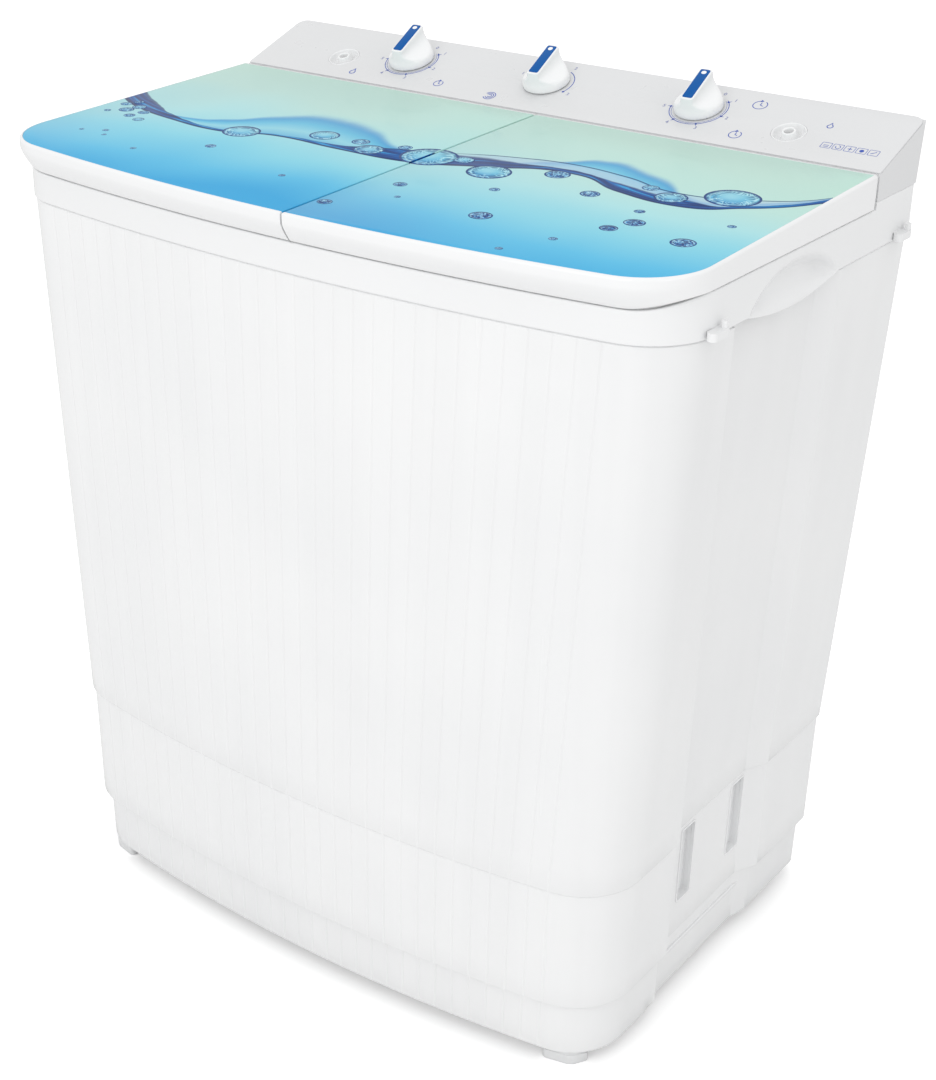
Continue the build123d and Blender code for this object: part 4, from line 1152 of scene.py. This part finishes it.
def printed_glass():
    """Sky-to-aqua wash, a long swell line with a pale crest, and a veil at the right."""
    s = Shader("printed_glass")
    metre_x, metre_y, _ = s.components(s.coords)
    x = s.multiply(metre_x, 1000)
    y = s.multiply(metre_y, 1000)
    sway = s.wobble(scale=9.0, detail=2.0, amount=14)
    across = s.scaled(x, by=1 / LID.width, plus=0.5)
    # ground wash, 380 mm deep from y = -240
    depth = s.scaled(s.add(y, sway), by=1 / 380, plus=240 / 380)
    depth = s.add(depth, s.wobble(scale=3.2, detail=2.0, amount=0.55))
    colour = s.ramp(depth, [
        (0.00, dye(66, 168, 228)), (0.16, dye(98, 190, 236)), (0.34, dye(140, 212, 238)),
        (0.52, dye(176, 224, 236)), (0.72, dye(193, 226, 226)), (0.95, dye(196, 226, 222))])
    # broad pale crest behind the swell line
    line = s.curve(across, SWELL_LINE, low=-120, high=120)
    thickness = s.curve(across, SWELL_THICKNESS, low=0, high=60)
    behind = s.subtract(y, line)
    crest_height = s.curve(across, CREST_HEIGHT, low=0, high=120)
    ripple = s.wobble(scale=22.0, detail=3.0, amount=10)
    crest_share = s.math("DIVIDE", s.add(behind, ripple), s.math("MAXIMUM", crest_height, 4))
    above = s.rise(behind, start=-2, end=3)
    crest = s.multiply(above, s.fall(crest_share, start=0.72, end=1.02))
    crest_colour = s.ramp(crest_share, [
        (0.0, dye(96, 178, 226)), (0.28, dye(150, 212, 236)), (0.55, dye(92, 188, 232)),
        (0.86, dye(20, 138, 214)), (1.0, dye(70, 180, 228))])
    colour = s.mix(s.multiply(crest, 0.92), colour, crest_colour)
    # ink-blue body of the line, with bright streaks drawn along it
    body_start = s.rise(s.add(behind, 1.5), start=-1.0, end=0.6)
    body_share = s.math("DIVIDE", s.add(behind, ripple), thickness)
    body = s.multiply(body_start, s.fall(body_share, start=0.86, end=1.05))
    along = s.node("CombineXYZ")
    s.link(s.multiply(x, 0.010), along.inputs[0])
    s.link(s.multiply(behind, 0.14), along.inputs[1])
    streak = s.noise(scale=1.0, detail=3.0, distortion=0.6, vector=along.outputs[0])
    ink = s.ramp(streak, [
        (0.32, dye(0, 42, 98)), (0.46, dye(0, 60, 134)), (0.56, dye(0, 94, 178)),
        (0.62, dye(40, 160, 226)), (0.67, dye(0, 86, 172)), (0.75, dye(0, 50, 114))])
    colour = s.mix(body, colour, ink)
    # dark outlines along the front and the back of the body
    front_edge = s.fall(s.size(s.add(behind, 0.2)), start=1.0, end=2.2)
    colour = s.mix(s.multiply(front_edge, 0.9), colour, dye(0, 40, 98))
    edge_share = s.math("DIVIDE", s.add(behind, ripple), thickness)
    back_edge = s.fall(s.size(s.subtract(edge_share, 0.96)), start=0.03, end=0.10)
    colour = s.mix(s.multiply(back_edge, 0.80), colour, dye(0, 52, 120))
    # pale veil between two lines on the right
    past_veil = s.subtract(y, s.curve(across, VEIL_LINE, low=-120, high=120))
    on_right = s.rise(across, start=0.50, end=0.58)
    between = s.multiply(s.fall(past_veil, start=-4.0, end=0.0),
                         s.rise(behind, start=0.0, end=6.0))
    off_body = s.subtract(1.0, body)
    veil = s.multiply(s.multiply(between, on_right), s.multiply(off_body, 0.62))
    colour = s.mix(veil, colour, dye(176, 200, 232))
    veil_edge = s.multiply(on_right, s.fall(s.size(past_veil), start=0.7, end=1.7))
    colour = s.mix(s.multiply(veil_edge, 0.9), colour, dye(0, 52, 120))
    s.set("Base Color", colour)
    finish_gloss(s)
    return s.material


def printed_bubble():
    """One bubble in its own disc coordinates, whose third value is the depth of colour."""
    s = Shader("printed_bubble", attribute="disc")
    x, y, deep = s.components(s.coords)
    seed = s.attribute("seed")
    moved = s.node("VectorMath")
    moved.operation = "ADD"
    s.link(s.coords, moved.inputs[0])
    s.link(seed, moved.inputs[1])
    swirl = s.noise(scale=1.15, detail=2.0, distortion=1.6, vector=moved.outputs[0])
    radius = s.distance(x, y)
    colour = s.ramp(s.scaled(y, by=0.5, plus=0.5), [
        (0.0, dye(50, 146, 214)), (0.5, dye(100, 188, 228)), (1.0, dye(150, 212, 234))])
    strong = s.rise(deep, start=0.72, end=0.98)
    colour = s.mix(s.multiply(strong, 0.70), colour, dye(0, 122, 214))
    # dark broken facets and the bright glints between them
    folds = s.multiply(swirl, s.scaled(strong, by=-2.2, plus=6.0))
    fold = s.size(s.subtract(s.math("FRACT", folds), 0.5))
    facet = s.multiply(s.rise(fold, start=0.20, end=0.30),
                       s.rise(s.scaled(strong, by=0.6, plus=radius), start=0.34, end=0.78))
    colour = s.mix(s.multiply(facet, deep), colour, dye(0, 50, 124))
    glint = s.multiply(s.fall(fold, start=0.05, end=0.12),
                       s.rise(s.add(strong, radius), start=0.25, end=0.6))
    colour = s.mix(s.multiply(glint, 0.85), colour, dye(196, 234, 248))
    # dark crescent and pale sheen, each about its own offset centre
    crescent = s.rise(s.distance(s.add(x, -0.16), s.add(y, 0.22)), start=0.90, end=1.14)
    colour = s.mix(s.multiply(crescent, s.multiply(deep, 0.9)), colour, dye(0, 44, 112))
    sheen = s.fall(s.distance(s.add(x, 0.14), s.add(y, -0.10)), start=0.05, end=0.66)
    colour = s.mix(s.multiply(sheen, s.scaled(strong, by=-0.42, plus=0.60)), colour,
                   dye(170, 222, 242))
    # pale inner ring and dark rim
    inner_ring = s.multiply(s.rise(radius, start=0.74, end=0.78),
                            s.fall(radius, start=0.81, end=0.85))
    colour = s.mix(s.multiply(inner_ring, 0.5), colour, dye(180, 224, 242))
    rim = s.rise(radius, start=0.88, end=0.93)
    colour = s.mix(s.multiply(rim, 0.94), colour, dye(0, 54, 126))
    s.set("Base Color", colour)
    finish_gloss(s)
    return s.material


GLASS = printed_glass()
BUBBLE = printed_bubble()

BUBBLES = [  # centre x, y, radius, depth of colour
    (-186, -70, 19, 0.75), (-112, -36, 15, 0.7), (12, -38, 28, 0.65), (-48, -50, 15, 0.8),
    (84, -46, 21, 0.7), (138, -18, 12, 0.9), (298, 8, 25, 0.6), (254, -20, 15, 0.8),
    (-334, -74, 8, 0.9), (-316, -88, 6, 0.9), (-298, -94, 6, 0.8), (-350, -58, 6, 0.9),
    (-176, -124, 5.5, 1.0), (-296, -140, 3.4, 1.0), (-318, -150, 2.6, 1.0),
    (-286, -152, 2.6, 1.0), (118, -86, 5.0, 1.0), (150, -152, 10.5, 1.0),
    (232, -168, 4.0, 1.0), (192, -50, 9, 1.0), (252, -68, 5.0, 1.0), (264, -96, 9.5, 1.0),
    (254, -120, 8, 1.0), (322, -118, 11, 1.0), (62, -150, 3.0, 1.0), (42, -120, 6.5, 1.0),
    (210, -212, 3.4, 1.0), (-60, -158, 3.4, 1.0), (20, -196, 7.0, 1.0), (334, -60, 4.0, 1.0),
    (-230, -170, 3.2, 0.9), (-344, -46, 5.5, 0.95), (-330, -60, 7.5, 0.85),
    (-312, -72, 6.5, 0.9), (-348, -86, 3.6, 1.0), (-70, -34, 9, 0.85), (44, -28, 10, 0.8),
    (-24, -26, 7, 0.9), (226, -6, 8, 0.85),
]
# those clear of the rim's ledge also show on the underside
UNDER_BUBBLES = [(x, y, radius, deep) for x, y, radius, deep in BUBBLES
                 if abs(x) < 340 and -210 + radius < y < 112 and abs(x - SEAM) > 25 + radius]


def build_pane(name, side, node, body):
    rings = []
    for inset, drop in ((0.6, 3.95), (0.0, 3.4), (0.0, 0.6), (0.18, 0.18), (0.6, 0.0)):
        insets = (3.1 + inset, 0.25 + inset, 5.1 + inset)
        plan = [lid_point(kind, q, insets, mirrored_seam(side)) for kind, q in LID_STATIONS]
        rings.append([(side * x, y, lid_z(y) - drop) for x, y in plan])
    ob = loft(name, rings, GLASS)
    split_normals(ob, 50)
    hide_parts(node)
    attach(ob, body)


def build_bubbles(name, side, node, body, bubbles, under=False):
    """Slightly domed discs on one pane, all in one mesh."""
    seam_edge = SEAM + side * 1.95
    low, high = sorted((seam_edge, side * 366))
    bm = bmesh.new()
    disc = bm.verts.layers.float_vector.new("disc")
    seed = bm.verts.layers.float_vector.new("seed")
    # share of the radius, height above the glass
    profile = ((1.0, -0.15), (1.0, 0.03), (0.97, 0.06), (0.9, 0.07), (0.5, 0.07))
    for k, (cx, cy, radius, deep) in enumerate(bubbles):
        if cx + radius < low or cx - radius > high:
            continue
        count = 56 if radius > 8 else 32
        rings = []
        for share, height in profile:
            ring = []
            for j in range(count):
                a = 2 * math.pi * j / count
                x = cx + radius * share * math.cos(a)
                y = cy + radius * share * 0.94 * math.sin(a)
                z = lid_z(y) + (-3.95 - height if under else height)
                vert = bm.verts.new((x * MM, y * MM, z * MM))
                vert[disc] = Vector((share * math.cos(a), share * math.sin(a), deep))
                vert[seed] = Vector((k * 3.7, k * 1.9, k * 0.7))
                ring.append(vert)
            rings.append(ring)
        for a, b in zip(rings[:-1], rings[1:]):
            for j in range(count):
                i = (j + 1) % count
                bm.faces.new((a[j], a[i], b[i], b[j]))
        bm.faces.new(rings[-1])
        bm.faces.new(rings[0][::-1])
    # discs that cross the seam are cut back to the edge of this pane
    sliced = bmesh.ops.bisect_plane(
        bm, geom=bm.verts[:] + bm.edges[:] + bm.faces[:], dist=1e-7,
        plane_co=(seam_edge * MM, 0, 0), plane_no=(-side, 0, 0), clear_outer=True)
    edges = [e for e in sliced["geom_cut"] if isinstance(e, bmesh.types.BMEdge)]
    bmesh.ops.holes_fill(bm, edges=edges, sides=0)
    bmesh.ops.recalc_face_normals(bm, faces=bm.faces)
    mesh = bpy.data.meshes.new(name)
    bm.to_mesh(mesh)
    bm.free()
    mesh.materials.append(BUBBLE)
    ob = add_object(name, mesh)
    split_normals(ob, 40)
    install(ob, node, body)


LIDS = ((-1, "wash_lid"), (1, "spin_lid"))
for side, lid in LIDS:
    build_pane(f"{lid}_pane", side, f"{lid}_glass", lid)
for side, lid in LIDS:
    build_bubbles(f"{lid}_bubbles", side, f"{lid}_glass", lid, BUBBLES)
for side, lid in LIDS:
    build_bubbles(f"{lid}_bubbles_under", side, f"{lid}_glass", lid, UNDER_BUBBLES, under=True)

# ------------------------------------------------------------------ console
console_rise = CONSOLE_BACK_Z - CONSOLE_FRONT_Z
console_run = CONSOLE_SLOPE_END - CONSOLE_FRONT
slope_length = math.hypot(console_rise, console_run)
slope_angle = math.atan(console_rise / console_run)
slope_cos, slope_sin = math.cos(slope_angle), math.sin(slope_angle)
SLOPE = Matrix(((1, 0, 0, 0),
                (0, slope_cos, -slope_sin, CONSOLE_FRONT * MM),
                (0, slope_sin, slope_cos, CONSOLE_FRONT_Z * MM),
                (0, 0, 0, 1)))


def shaft_x(node):
    low, high = box_mm(node)
    return (low[0] + high[0]) / 2


KNOB_X = {"wash": shaft_x("wash_timer_shaft"), "mode": shaft_x("mode_shaft"),
          "spin": shaft_x("spin_timer_shaft")}


def on_slope(x, s, h):
    """x across, s up the console slope, h off its surface."""
    return (x, CONSOLE_FRONT + s * slope_cos - h * slope_sin,
            CONSOLE_FRONT_Z + s * slope_sin + h * slope_cos)


def slope_loft(name, rings, material, angle, node, body="cabinet", looped=False):
    """Lofted piece given in slope coordinates."""
    placed = [[on_slope(*p) for p in ring] for ring in rings]
    ob = loft(name, placed, material, looped, merge=1e-7)
    split_normals(ob, angle)
    install(ob, node, body)


def slope_drill(cx, cy, radius, count):
    rings = [[on_slope(x, s, h) for x, s in circle(cx, cy, radius, count)] for h in (-20, 8)]
    return loft("cutter", rings, WHITE)


def build_housing():
    """Hollow wedge; its sloping top is lowered to take the fascia sheet."""
    sunk = 1.7
    outside = [(CONSOLE_FRONT, 780.1), (CONSOLE_FRONT, CONSOLE_FRONT_Z - sunk),
               (CONSOLE_SLOPE_END - 0.6, CONSOLE_BACK_Z - sunk - 0.4),
               (BACK, CONSOLE_BACK_Z - 3.2), (BACK, 780.1)]  # y, z
    hollow = [(CONSOLE_FRONT + 3, 770), (CONSOLE_FRONT + 3, CONSOLE_FRONT_Z - 5),
              (CONSOLE_SLOPE_END - 3, CONSOLE_BACK_Z - 6.4),
              (BACK - 3, CONSOLE_BACK_Z - 9), (BACK - 3, 770)]
    shell = prism("console_shell", outside, "x", -CONSOLE_HALF, CONSOLE_HALF, FASCIA)
    cutters = [cutter(hollow, "x", 3 - CONSOLE_HALF, CONSOLE_HALF - 3)]
    cutters += [slope_drill(x, WELL_S, WELL_HOLE, 64) for x in WELL_X]
    cutters += [slope_drill(x, KNOB_S, KNOB_HOLE, 32) for x in KNOB_X.values()]
    # round the upright rear edges before the cuts
    bm = bmesh.new()
    bm.from_mesh(shell.data)
    rear = [e for e in bm.edges if all(abs(v.co.y - BACK * MM) < 1e-5 for v in e.verts)
            and abs(e.verts[0].co.x - e.verts[1].co.x) < 1e-6]
    bmesh.ops.bevel(bm, geom=rear, offset=11 * MM, segments=8, profile=0.5, affect="EDGES")
    bm.to_mesh(shell.data)
    bm.free()
    cut(shell, cutters)
    bevel(shell, 1.0, segments=3, angle=35)
    install(shell, "console_housing")


def build_fascia():
    """Sheet over the whole slope, its rear corners rounder to follow the housing."""
    rim = []
    for sx, sy, start in CORNERS:
        radius = 10.5 if sy > 0 else 2.2
        cx = sx * (CONSOLE_HALF - 0.2 - radius)
        cy = slope_length - 0.5 - radius if sy > 0 else 0.3 + radius
        for k in range(9):
            a = math.radians(start + 90 * k / 8)
            rim.append((cx + radius * math.cos(a), cy + radius * math.sin(a)))
    loops = [rim] + [circle(x, WELL_S, WELL_HOLE, 72) for x in WELL_X]
    loops += [circle(x, KNOB_S, KNOB_HOLE, 32) for x in KNOB_X.values()]
    thickness = 1.6
    sink = Matrix.Translation((0, 0, -thickness / 2 * MM))
    plate("fascia_sheet", loops, thickness, 0.5, 3, SLOPE @ sink, FASCIA, "console_fascia")


CUP_PROFILE = [  # radius, height: round well with an upright spigot in the middle
    (6.5, -22), (6.5, -14.2), (16.6, -14), (16.6, -0.5), (16.45, -0.15), (16.1, 0.05),
    (15.7, 0.0), (15.35, -0.35), (15.1, -1.2), (14.8, -3.0), (14.1, -5.0), (13.0, -6.7),
    (11.7, -7.7), (10.4, -7.9), (9.2, -7.4), (8.3, -6.2), (7.7, -4.6), (7.2, -2.6),
    (6.85, -0.8), (6.6, 0.7), (6.35, 1.2), (5.95, 1.45), (5.5, 1.5), (5.05, 1.4),
    (4.7, 1.05), (4.5, 0.4), (4.5, -22)]


def build_inlet_cup(name, x):
    rings = [[(px, s, h) for px, s in circle(x, WELL_S, radius, 72)] for radius, h in CUP_PROFILE]
    slope_loft(name, rings, CUP_WHITE, 42, "water_inlets", looped=True)


def knob_top(v):
    """Height of the bar's top, which slopes up towards its pointing end."""
    return 26.0 + (v / 21.0) * 3.9


def knob_section(radius, half_width, power):
    """Circle squeezed to a half-width; a higher power gives crisper corners."""
    points = []
    for a in np.linspace(0, 2 * math.pi, 128, endpoint=False):
        c = max(abs(math.cos(a)), 1e-4)
        r = (radius ** -power + (c / half_width) ** power) ** (-1 / power)
        points.append((r * math.cos(a), r * math.sin(a)))
    return points


def build_knob(name, cx, node, insert_node, body):
    """Round skirt flowing into a tall bar, with a coloured strip and a dot on top."""
    def place(points, height):
        return [(cx + u, KNOB_S + v, height(v)) for u, v in points]

    skirt_top, bar_half = 8.9, 6.9
    rings = []
    # radius, height of the skirt
    for radius, h in ((22.6, 1.0), (23.6, 1.15), (24.0, 1.7), (23.9, 4.0), (23.7, 6.5),
                      (23.2, 8.2)):
        rings.append(place(knob_section(radius, 60, 12.0), lambda v: h))
    for q in (*np.linspace(0, 0.3, 9), *np.linspace(0.34, 0.80, 12), 0.86, 0.92, 0.955):
        half = bar_half + 17.6 * max(1 - q / 0.80, 0) ** 2.6
        radius = 23.0 - 0.9 * q - 0.24 * smooth(q / 0.2)
        rings.append(place(knob_section(radius, half, 10 + 10 * q),
                           lambda v: skirt_top + (knob_top(v) - skirt_top) * q))
    # share of the height, rounding of the bar's top edge
    for q, inset in ((0.975, 0.15), (0.990, 0.45), (0.998, 0.85), (1.0, 1.3)):
        rings.append(place(knob_section(22.1 - inset, bar_half - inset, 20),
                           lambda v: skirt_top + (knob_top(v) - skirt_top) * q))
    slope_loft(name, rings, KNOB_WHITE, 60, node, body)

    width, low, high = 10.6, -19.4, 20.0
    middle, length = (low + high) / 2, high - low
    strip = rounded_rect(0, middle, width, length, 1.6, 8)
    rings = []
    for inset, h in ((0, -0.4), (0, 0.2), (0.12, 0.45), (0.4, 0.55)):
        shrunk = [(u * (1 - inset / (width / 2)),
                   middle + (v - middle) * (1 - inset / (length / 2))) for u, v in strip]
        rings.append(place(shrunk, lambda v: knob_top(v) + h))
    slope_loft(name + "_strip", rings, BLUE, 50, insert_node, body)

    rings = []
    for radius, h in ((2.25, 0.3), (2.25, 0.62), (2.1, 0.72), (1.7, 0.76)):
        dot = [(u * 1.15, 15.6 + v) for u, v in circle(0, 0, radius, 40)]
        rings.append(place(dot, lambda v: knob_top(v) + h))
    slope_loft(name + "_dot", rings, DOT_WHITE, 50, insert_node, body)


build_housing()
build_fascia()
for k, x in enumerate(WELL_X):
    build_inlet_cup(f"inlet_cup_{k + 1}", x)
build_knob("wash_dial", KNOB_X["wash"], "wash_timer_knob", "wash_knob_insert", "wash_timer_dial")
build_knob("mode_selector", KNOB_X["mode"], "mode_knob", "mode_knob_insert", "mode_dial")
build_knob("spin_dial", KNOB_X["spin"], "spin_timer_knob", "spin_knob_insert", "spin_timer_dial")


# ------------------------------------------------------------------ prints on the console
# Shapes lie in slope coordinates (x, s); angles run clockwise from straight up the slope.
def print_film(name, solids, outlined=()):
    """Thin film pieces in one mesh: (outer, inner) outlines, then solid loops."""
    low, high = 0.02, 0.10
    verts, faces = [], []
    for outer, inner in outlined:
        k = len(verts)
        for ring, h in ((outer, low), (outer, high), (inner, high), (inner, low)):
            verts += [(x, s, h) for x, s in ring]
        faces += band_faces(len(outer), RING_OF_FOUR, first=k)
    for loop in solids:
        k, n = len(verts), len(loop)
        verts += [(x, s, h) for h in (low, high) for x, s in loop]
        faces.append(tuple(k + n + i for i in range(n)))
        faces += band_faces(n, [(0, 1)], first=k)
        faces.append(tuple(k + n - 1 - i for i in range(n)))
    ob = new_mesh(name, [on_slope(*v) for v in verts], faces, INK)
    clean(ob, 1e-7)
    split_normals(ob, 40)
    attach(ob, "cabinet")


def polar(cx, cy, radius, degrees):
    a = math.radians(degrees)
    return cx + radius * math.sin(a), cy + radius * math.cos(a)


def arc_band(cx, cy, radius, width, start, end, steps=48):
    angles = [start + (end - start) * k / steps for k in range(steps + 1)]
    return ([polar(cx, cy, radius + width / 2, a) for a in angles]
            + [polar(cx, cy, radius - width / 2, a) for a in angles[::-1]])


def bar(x0, y0, x1, y1, width):
    dx, dy = x1 - x0, y1 - y0
    length = math.hypot(dx, dy)
    nx, ny = -dy / length * width / 2, dx / length * width / 2
    return [(x0 - nx, y0 - ny), (x1 - nx, y1 - ny), (x1 + nx, y1 + ny), (x0 + nx, y0 + ny)]


def label(name, text, cx, cy):
    curve = bpy.data.curves.new(name, "FONT")
    curve.body = text
    curve.size = 6.4 * MM
    curve.align_x = "CENTER"
    curve.align_y = "CENTER"
    curve.extrude = 0.04 * MM
    place = SLOPE @ Matrix.Translation((cx * MM, cy * MM, 0.07 * MM))
    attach(add_object(name, curve_mesh(curve, place, VIOLET_INK)), "cabinet")


def timer_scale(key):
    """Open double ring with a dot, a tick and a number at each of five steps."""
    cx, cy = KNOB_X[key], KNOB_S
    start, end, radius, steps = 52, 262, 28.6, 5
    shapes = [arc_band(cx, cy, radius, 0.75, start - 6, end),
              arc_band(cx, cy, 26.6, 0.35, start - 6, end)]
    for k in range(steps):
        a = start + (end - start) * k / (steps - 1)
        dot = polar(cx, cy, radius, a)
        shapes.append(circle(*dot, 1.25, 20))
        shapes.append(bar(*dot, *polar(cx, cy, 31.6, a), 0.6))
        label(f"{key}_mark_{k + 1}", str(k + 1), *polar(cx, cy, 35.6, a))
    print_film(f"{key}_scale", shapes)
    label(f"{key}_mark_0", "0", *polar(cx, cy, 32.5, 22))


def mode_scale():
    """Short arc, two dots and three numbers."""
    cx, cy = KNOB_X["mode"], KNOB_S
    shapes = [arc_band(cx, cy, 28.4, 0.8, 28, 112, 32)]
    shapes += [circle(*polar(cx, cy, 28.4, a), 1.4, 20) for a in (-60, 112)]
    print_film("mode_scale", shapes)
    for text, a in (("1", -74), ("2", 24), ("3", 112)):
        label(f"mode_mark_{text}", text, *polar(cx, cy, 36, a))


def timer_icon(name, cx, cy, radius):
    """Clock ring with an arrow tip and two hands."""
    x, y = polar(cx, cy, radius, 345)
    print_film(name, [
        arc_band(cx, cy, radius, 0.8, 30, 345, 40),
        bar(cx, cy, cx, cy + radius * 0.62, 0.8),
        bar(cx, cy, cx + radius * 0.45, cy - radius * 0.2, 0.8),
        [(x - 0.4, y - 1.8), (x + 2.6, y + 0.2), (x - 0.4, y + 2.2)],
    ])


def drop_icon(name, cx, cy, radius):
    outer = [polar(cx, cy, radius, 30 + 300 * k / 24) for k in range(25)]
    outer.append((cx, cy + radius * 2.1))
    inner = [(cx + (x - cx) * 0.72, cy + (y - cy) * 0.72) for x, y in outer]
    print_film(name, [], outlined=[(outer, inner)])


def tile_row():
    """Five small outlined tiles with simple strokes."""
    pitch, s = 11.6, 28
    for k in range(5):
        x = 303 + k * pitch
        strokes = (
            [bar(x - 2.6, s - 2, x + 2.6, s - 2, 0.6), bar(x - 2.6, s + 0.2, x + 2.6, s + 0.2, 0.6)],
            [arc_band(x, s, 2.4, 0.6, 0, 300, 24)],
            [bar(x, s - 2.6, x, s + 2.6, 0.7), bar(x - 2, s, x + 2, s, 0.7)],
            [circle(x, s, 2.2, 20)],
            [bar(x - 2.4, s - 2, x + 2.4, s + 2, 0.7)],
        )[k]
        outline = (rounded_rect(x, s, 10.0, 9.0, 1.2, 4), rounded_rect(x, s, 9.1, 8.1, 0.8, 4))
        print_film(f"tile_{k + 1}", strokes, outlined=[outline])


timer_scale("wash")
timer_scale("spin")
mode_scale()
timer_icon("timer_icon_spin", 214, 20, 6.0)
timer_icon("timer_icon_wash", -128, 20, 5.0)
drop_icon("drop_icon_left", -236, 14, 3.6)
drop_icon("drop_icon_right", 292, 58, 3.2)
timer_icon("cycle_icon", 212, 74, 7.0)
print_film("swirl_icon", [arc_band(-60, 14, 6.4 - k * 2.1, 0.8, -60, 240, 30) for k in range(3)])
tile_row()


# ------------------------------------------------------------------ floor, light, camera
def pale_floor():
    """Brighter to the camera than to bounced light, so that undersides keep their shade."""
    s = Shader("pale_floor")
    cloud = s.noise(scale=1.5, detail=3.0)
    s.set("Base Color", s.tones(cloud, (0.90, 0.90, 0.90), (0.93, 0.93, 0.93)))
    s.set("Roughness", 0.7)
    s.set("Emission Color", (1, 1, 1))
    s.set("Emission Strength", 0.30)
    light_path = s.node("LightPath")
    dim = s.node("BsdfDiffuse")
    dim.inputs["Color"].default_value = (0.84, 0.84, 0.84, 1)
    mix = s.node("MixShader")
    s.link(light_path.outputs["Is Camera Ray"], mix.inputs[0])
    s.link(dim.outputs[0], mix.inputs[1])
    s.link(s.bsdf.outputs[0], mix.inputs[2])
    s.link(mix.outputs[0], s.output.inputs[0])
    return s.material


def build_floor():
    reach = 15000
    corners = [(-reach, -reach, 0), (reach, -reach, 0), (reach, reach, 0), (-reach, reach, 0)]
    new_mesh("floor", corners, [(0, 1, 2, 3)], pale_floor(), smooth_shaded=False)


def area_light(name, location, target, size, power):
    """Rectangular light aimed at a target; metres and watts."""
    light = bpy.data.lights.new(name, "AREA")
    light.shape = "RECTANGLE"
    light.size, light.size_y = size
    light.energy = power
    ob = add_object(name, light)
    ob.location = location
    aim = Vector(target) - Vector(location)
    ob.rotation_euler = aim.to_track_quat("-Z", "Y").to_euler()


def build_world():
    """White surrounding light, with a separate background seen by the camera."""
    world = bpy.data.worlds.new("world")
    scene.world = world
    world.use_nodes = True
    nodes, links = world.node_tree.nodes, world.node_tree.links
    ambient = nodes["Background"]
    ambient.inputs["Color"].default_value = (1, 1, 1, 1)
    ambient.inputs["Strength"].default_value = 0.92
    backdrop = nodes.new("ShaderNodeBackground")
    backdrop.inputs["Strength"].default_value = 1.0
    mix = nodes.new("ShaderNodeMixShader")
    light_path = nodes.new("ShaderNodeLightPath")
    output = next(n for n in nodes if n.type == "OUTPUT_WORLD")
    links.new(light_path.outputs["Is Camera Ray"], mix.inputs[0])
    links.new(ambient.outputs[0], mix.inputs[1])
    links.new(backdrop.outputs[0], mix.inputs[2])
    links.new(mix.outputs[0], output.inputs[0])


def build_camera(location, yaw, pitch, roll, lens):
    """Camera from its place in mm, its angles in degrees and its focal length in mm."""
    data = bpy.data.cameras.new("camera")
    camera = add_object("camera", data)
    scene.camera = camera
    yaw, pitch, roll = (math.radians(a) for a in (yaw, pitch, roll))
    view = Vector((-math.sin(yaw) * math.cos(pitch), math.cos(yaw) * math.cos(pitch),
                   -math.sin(pitch)))
    level_right = Vector((math.cos(yaw), math.sin(yaw), 0))
    level_up = level_right.cross(view)
    right = math.cos(roll) * level_right + math.sin(roll) * level_up
    up = -math.sin(roll) * level_right + math.cos(roll) * level_up
    rows = [(right[k], up[k], -view[k], location[k] * MM) for k in range(3)]
    camera.matrix_world = Matrix((*rows, (0, 0, 0, 1)))
    data.sensor_fit = "AUTO"
    data.sensor_width = 36
    data.lens = lens
    data.clip_start = 0.05
    data.clip_end = 60


build_floor()
area_light("key", (0.1, -3.8, 2.2), target=(0, 0, 0.45), size=(2.8, 2.2), power=36)
area_light("fill", (3.4, -1.0, 1.6), target=(0, 0, 0.45), size=(2.0, 2.0), power=9)
area_light("top", (0.2, 0.5, 3.2), target=(0, 0, 0.8), size=(2.2, 2.2), power=5)
build_world()
build_camera((1014.0, -1389.6, 1220.1), yaw=35.1, pitch=25.6, roll=1.2, lens=62.47)
scene.view_settings.view_transform = "Standard"
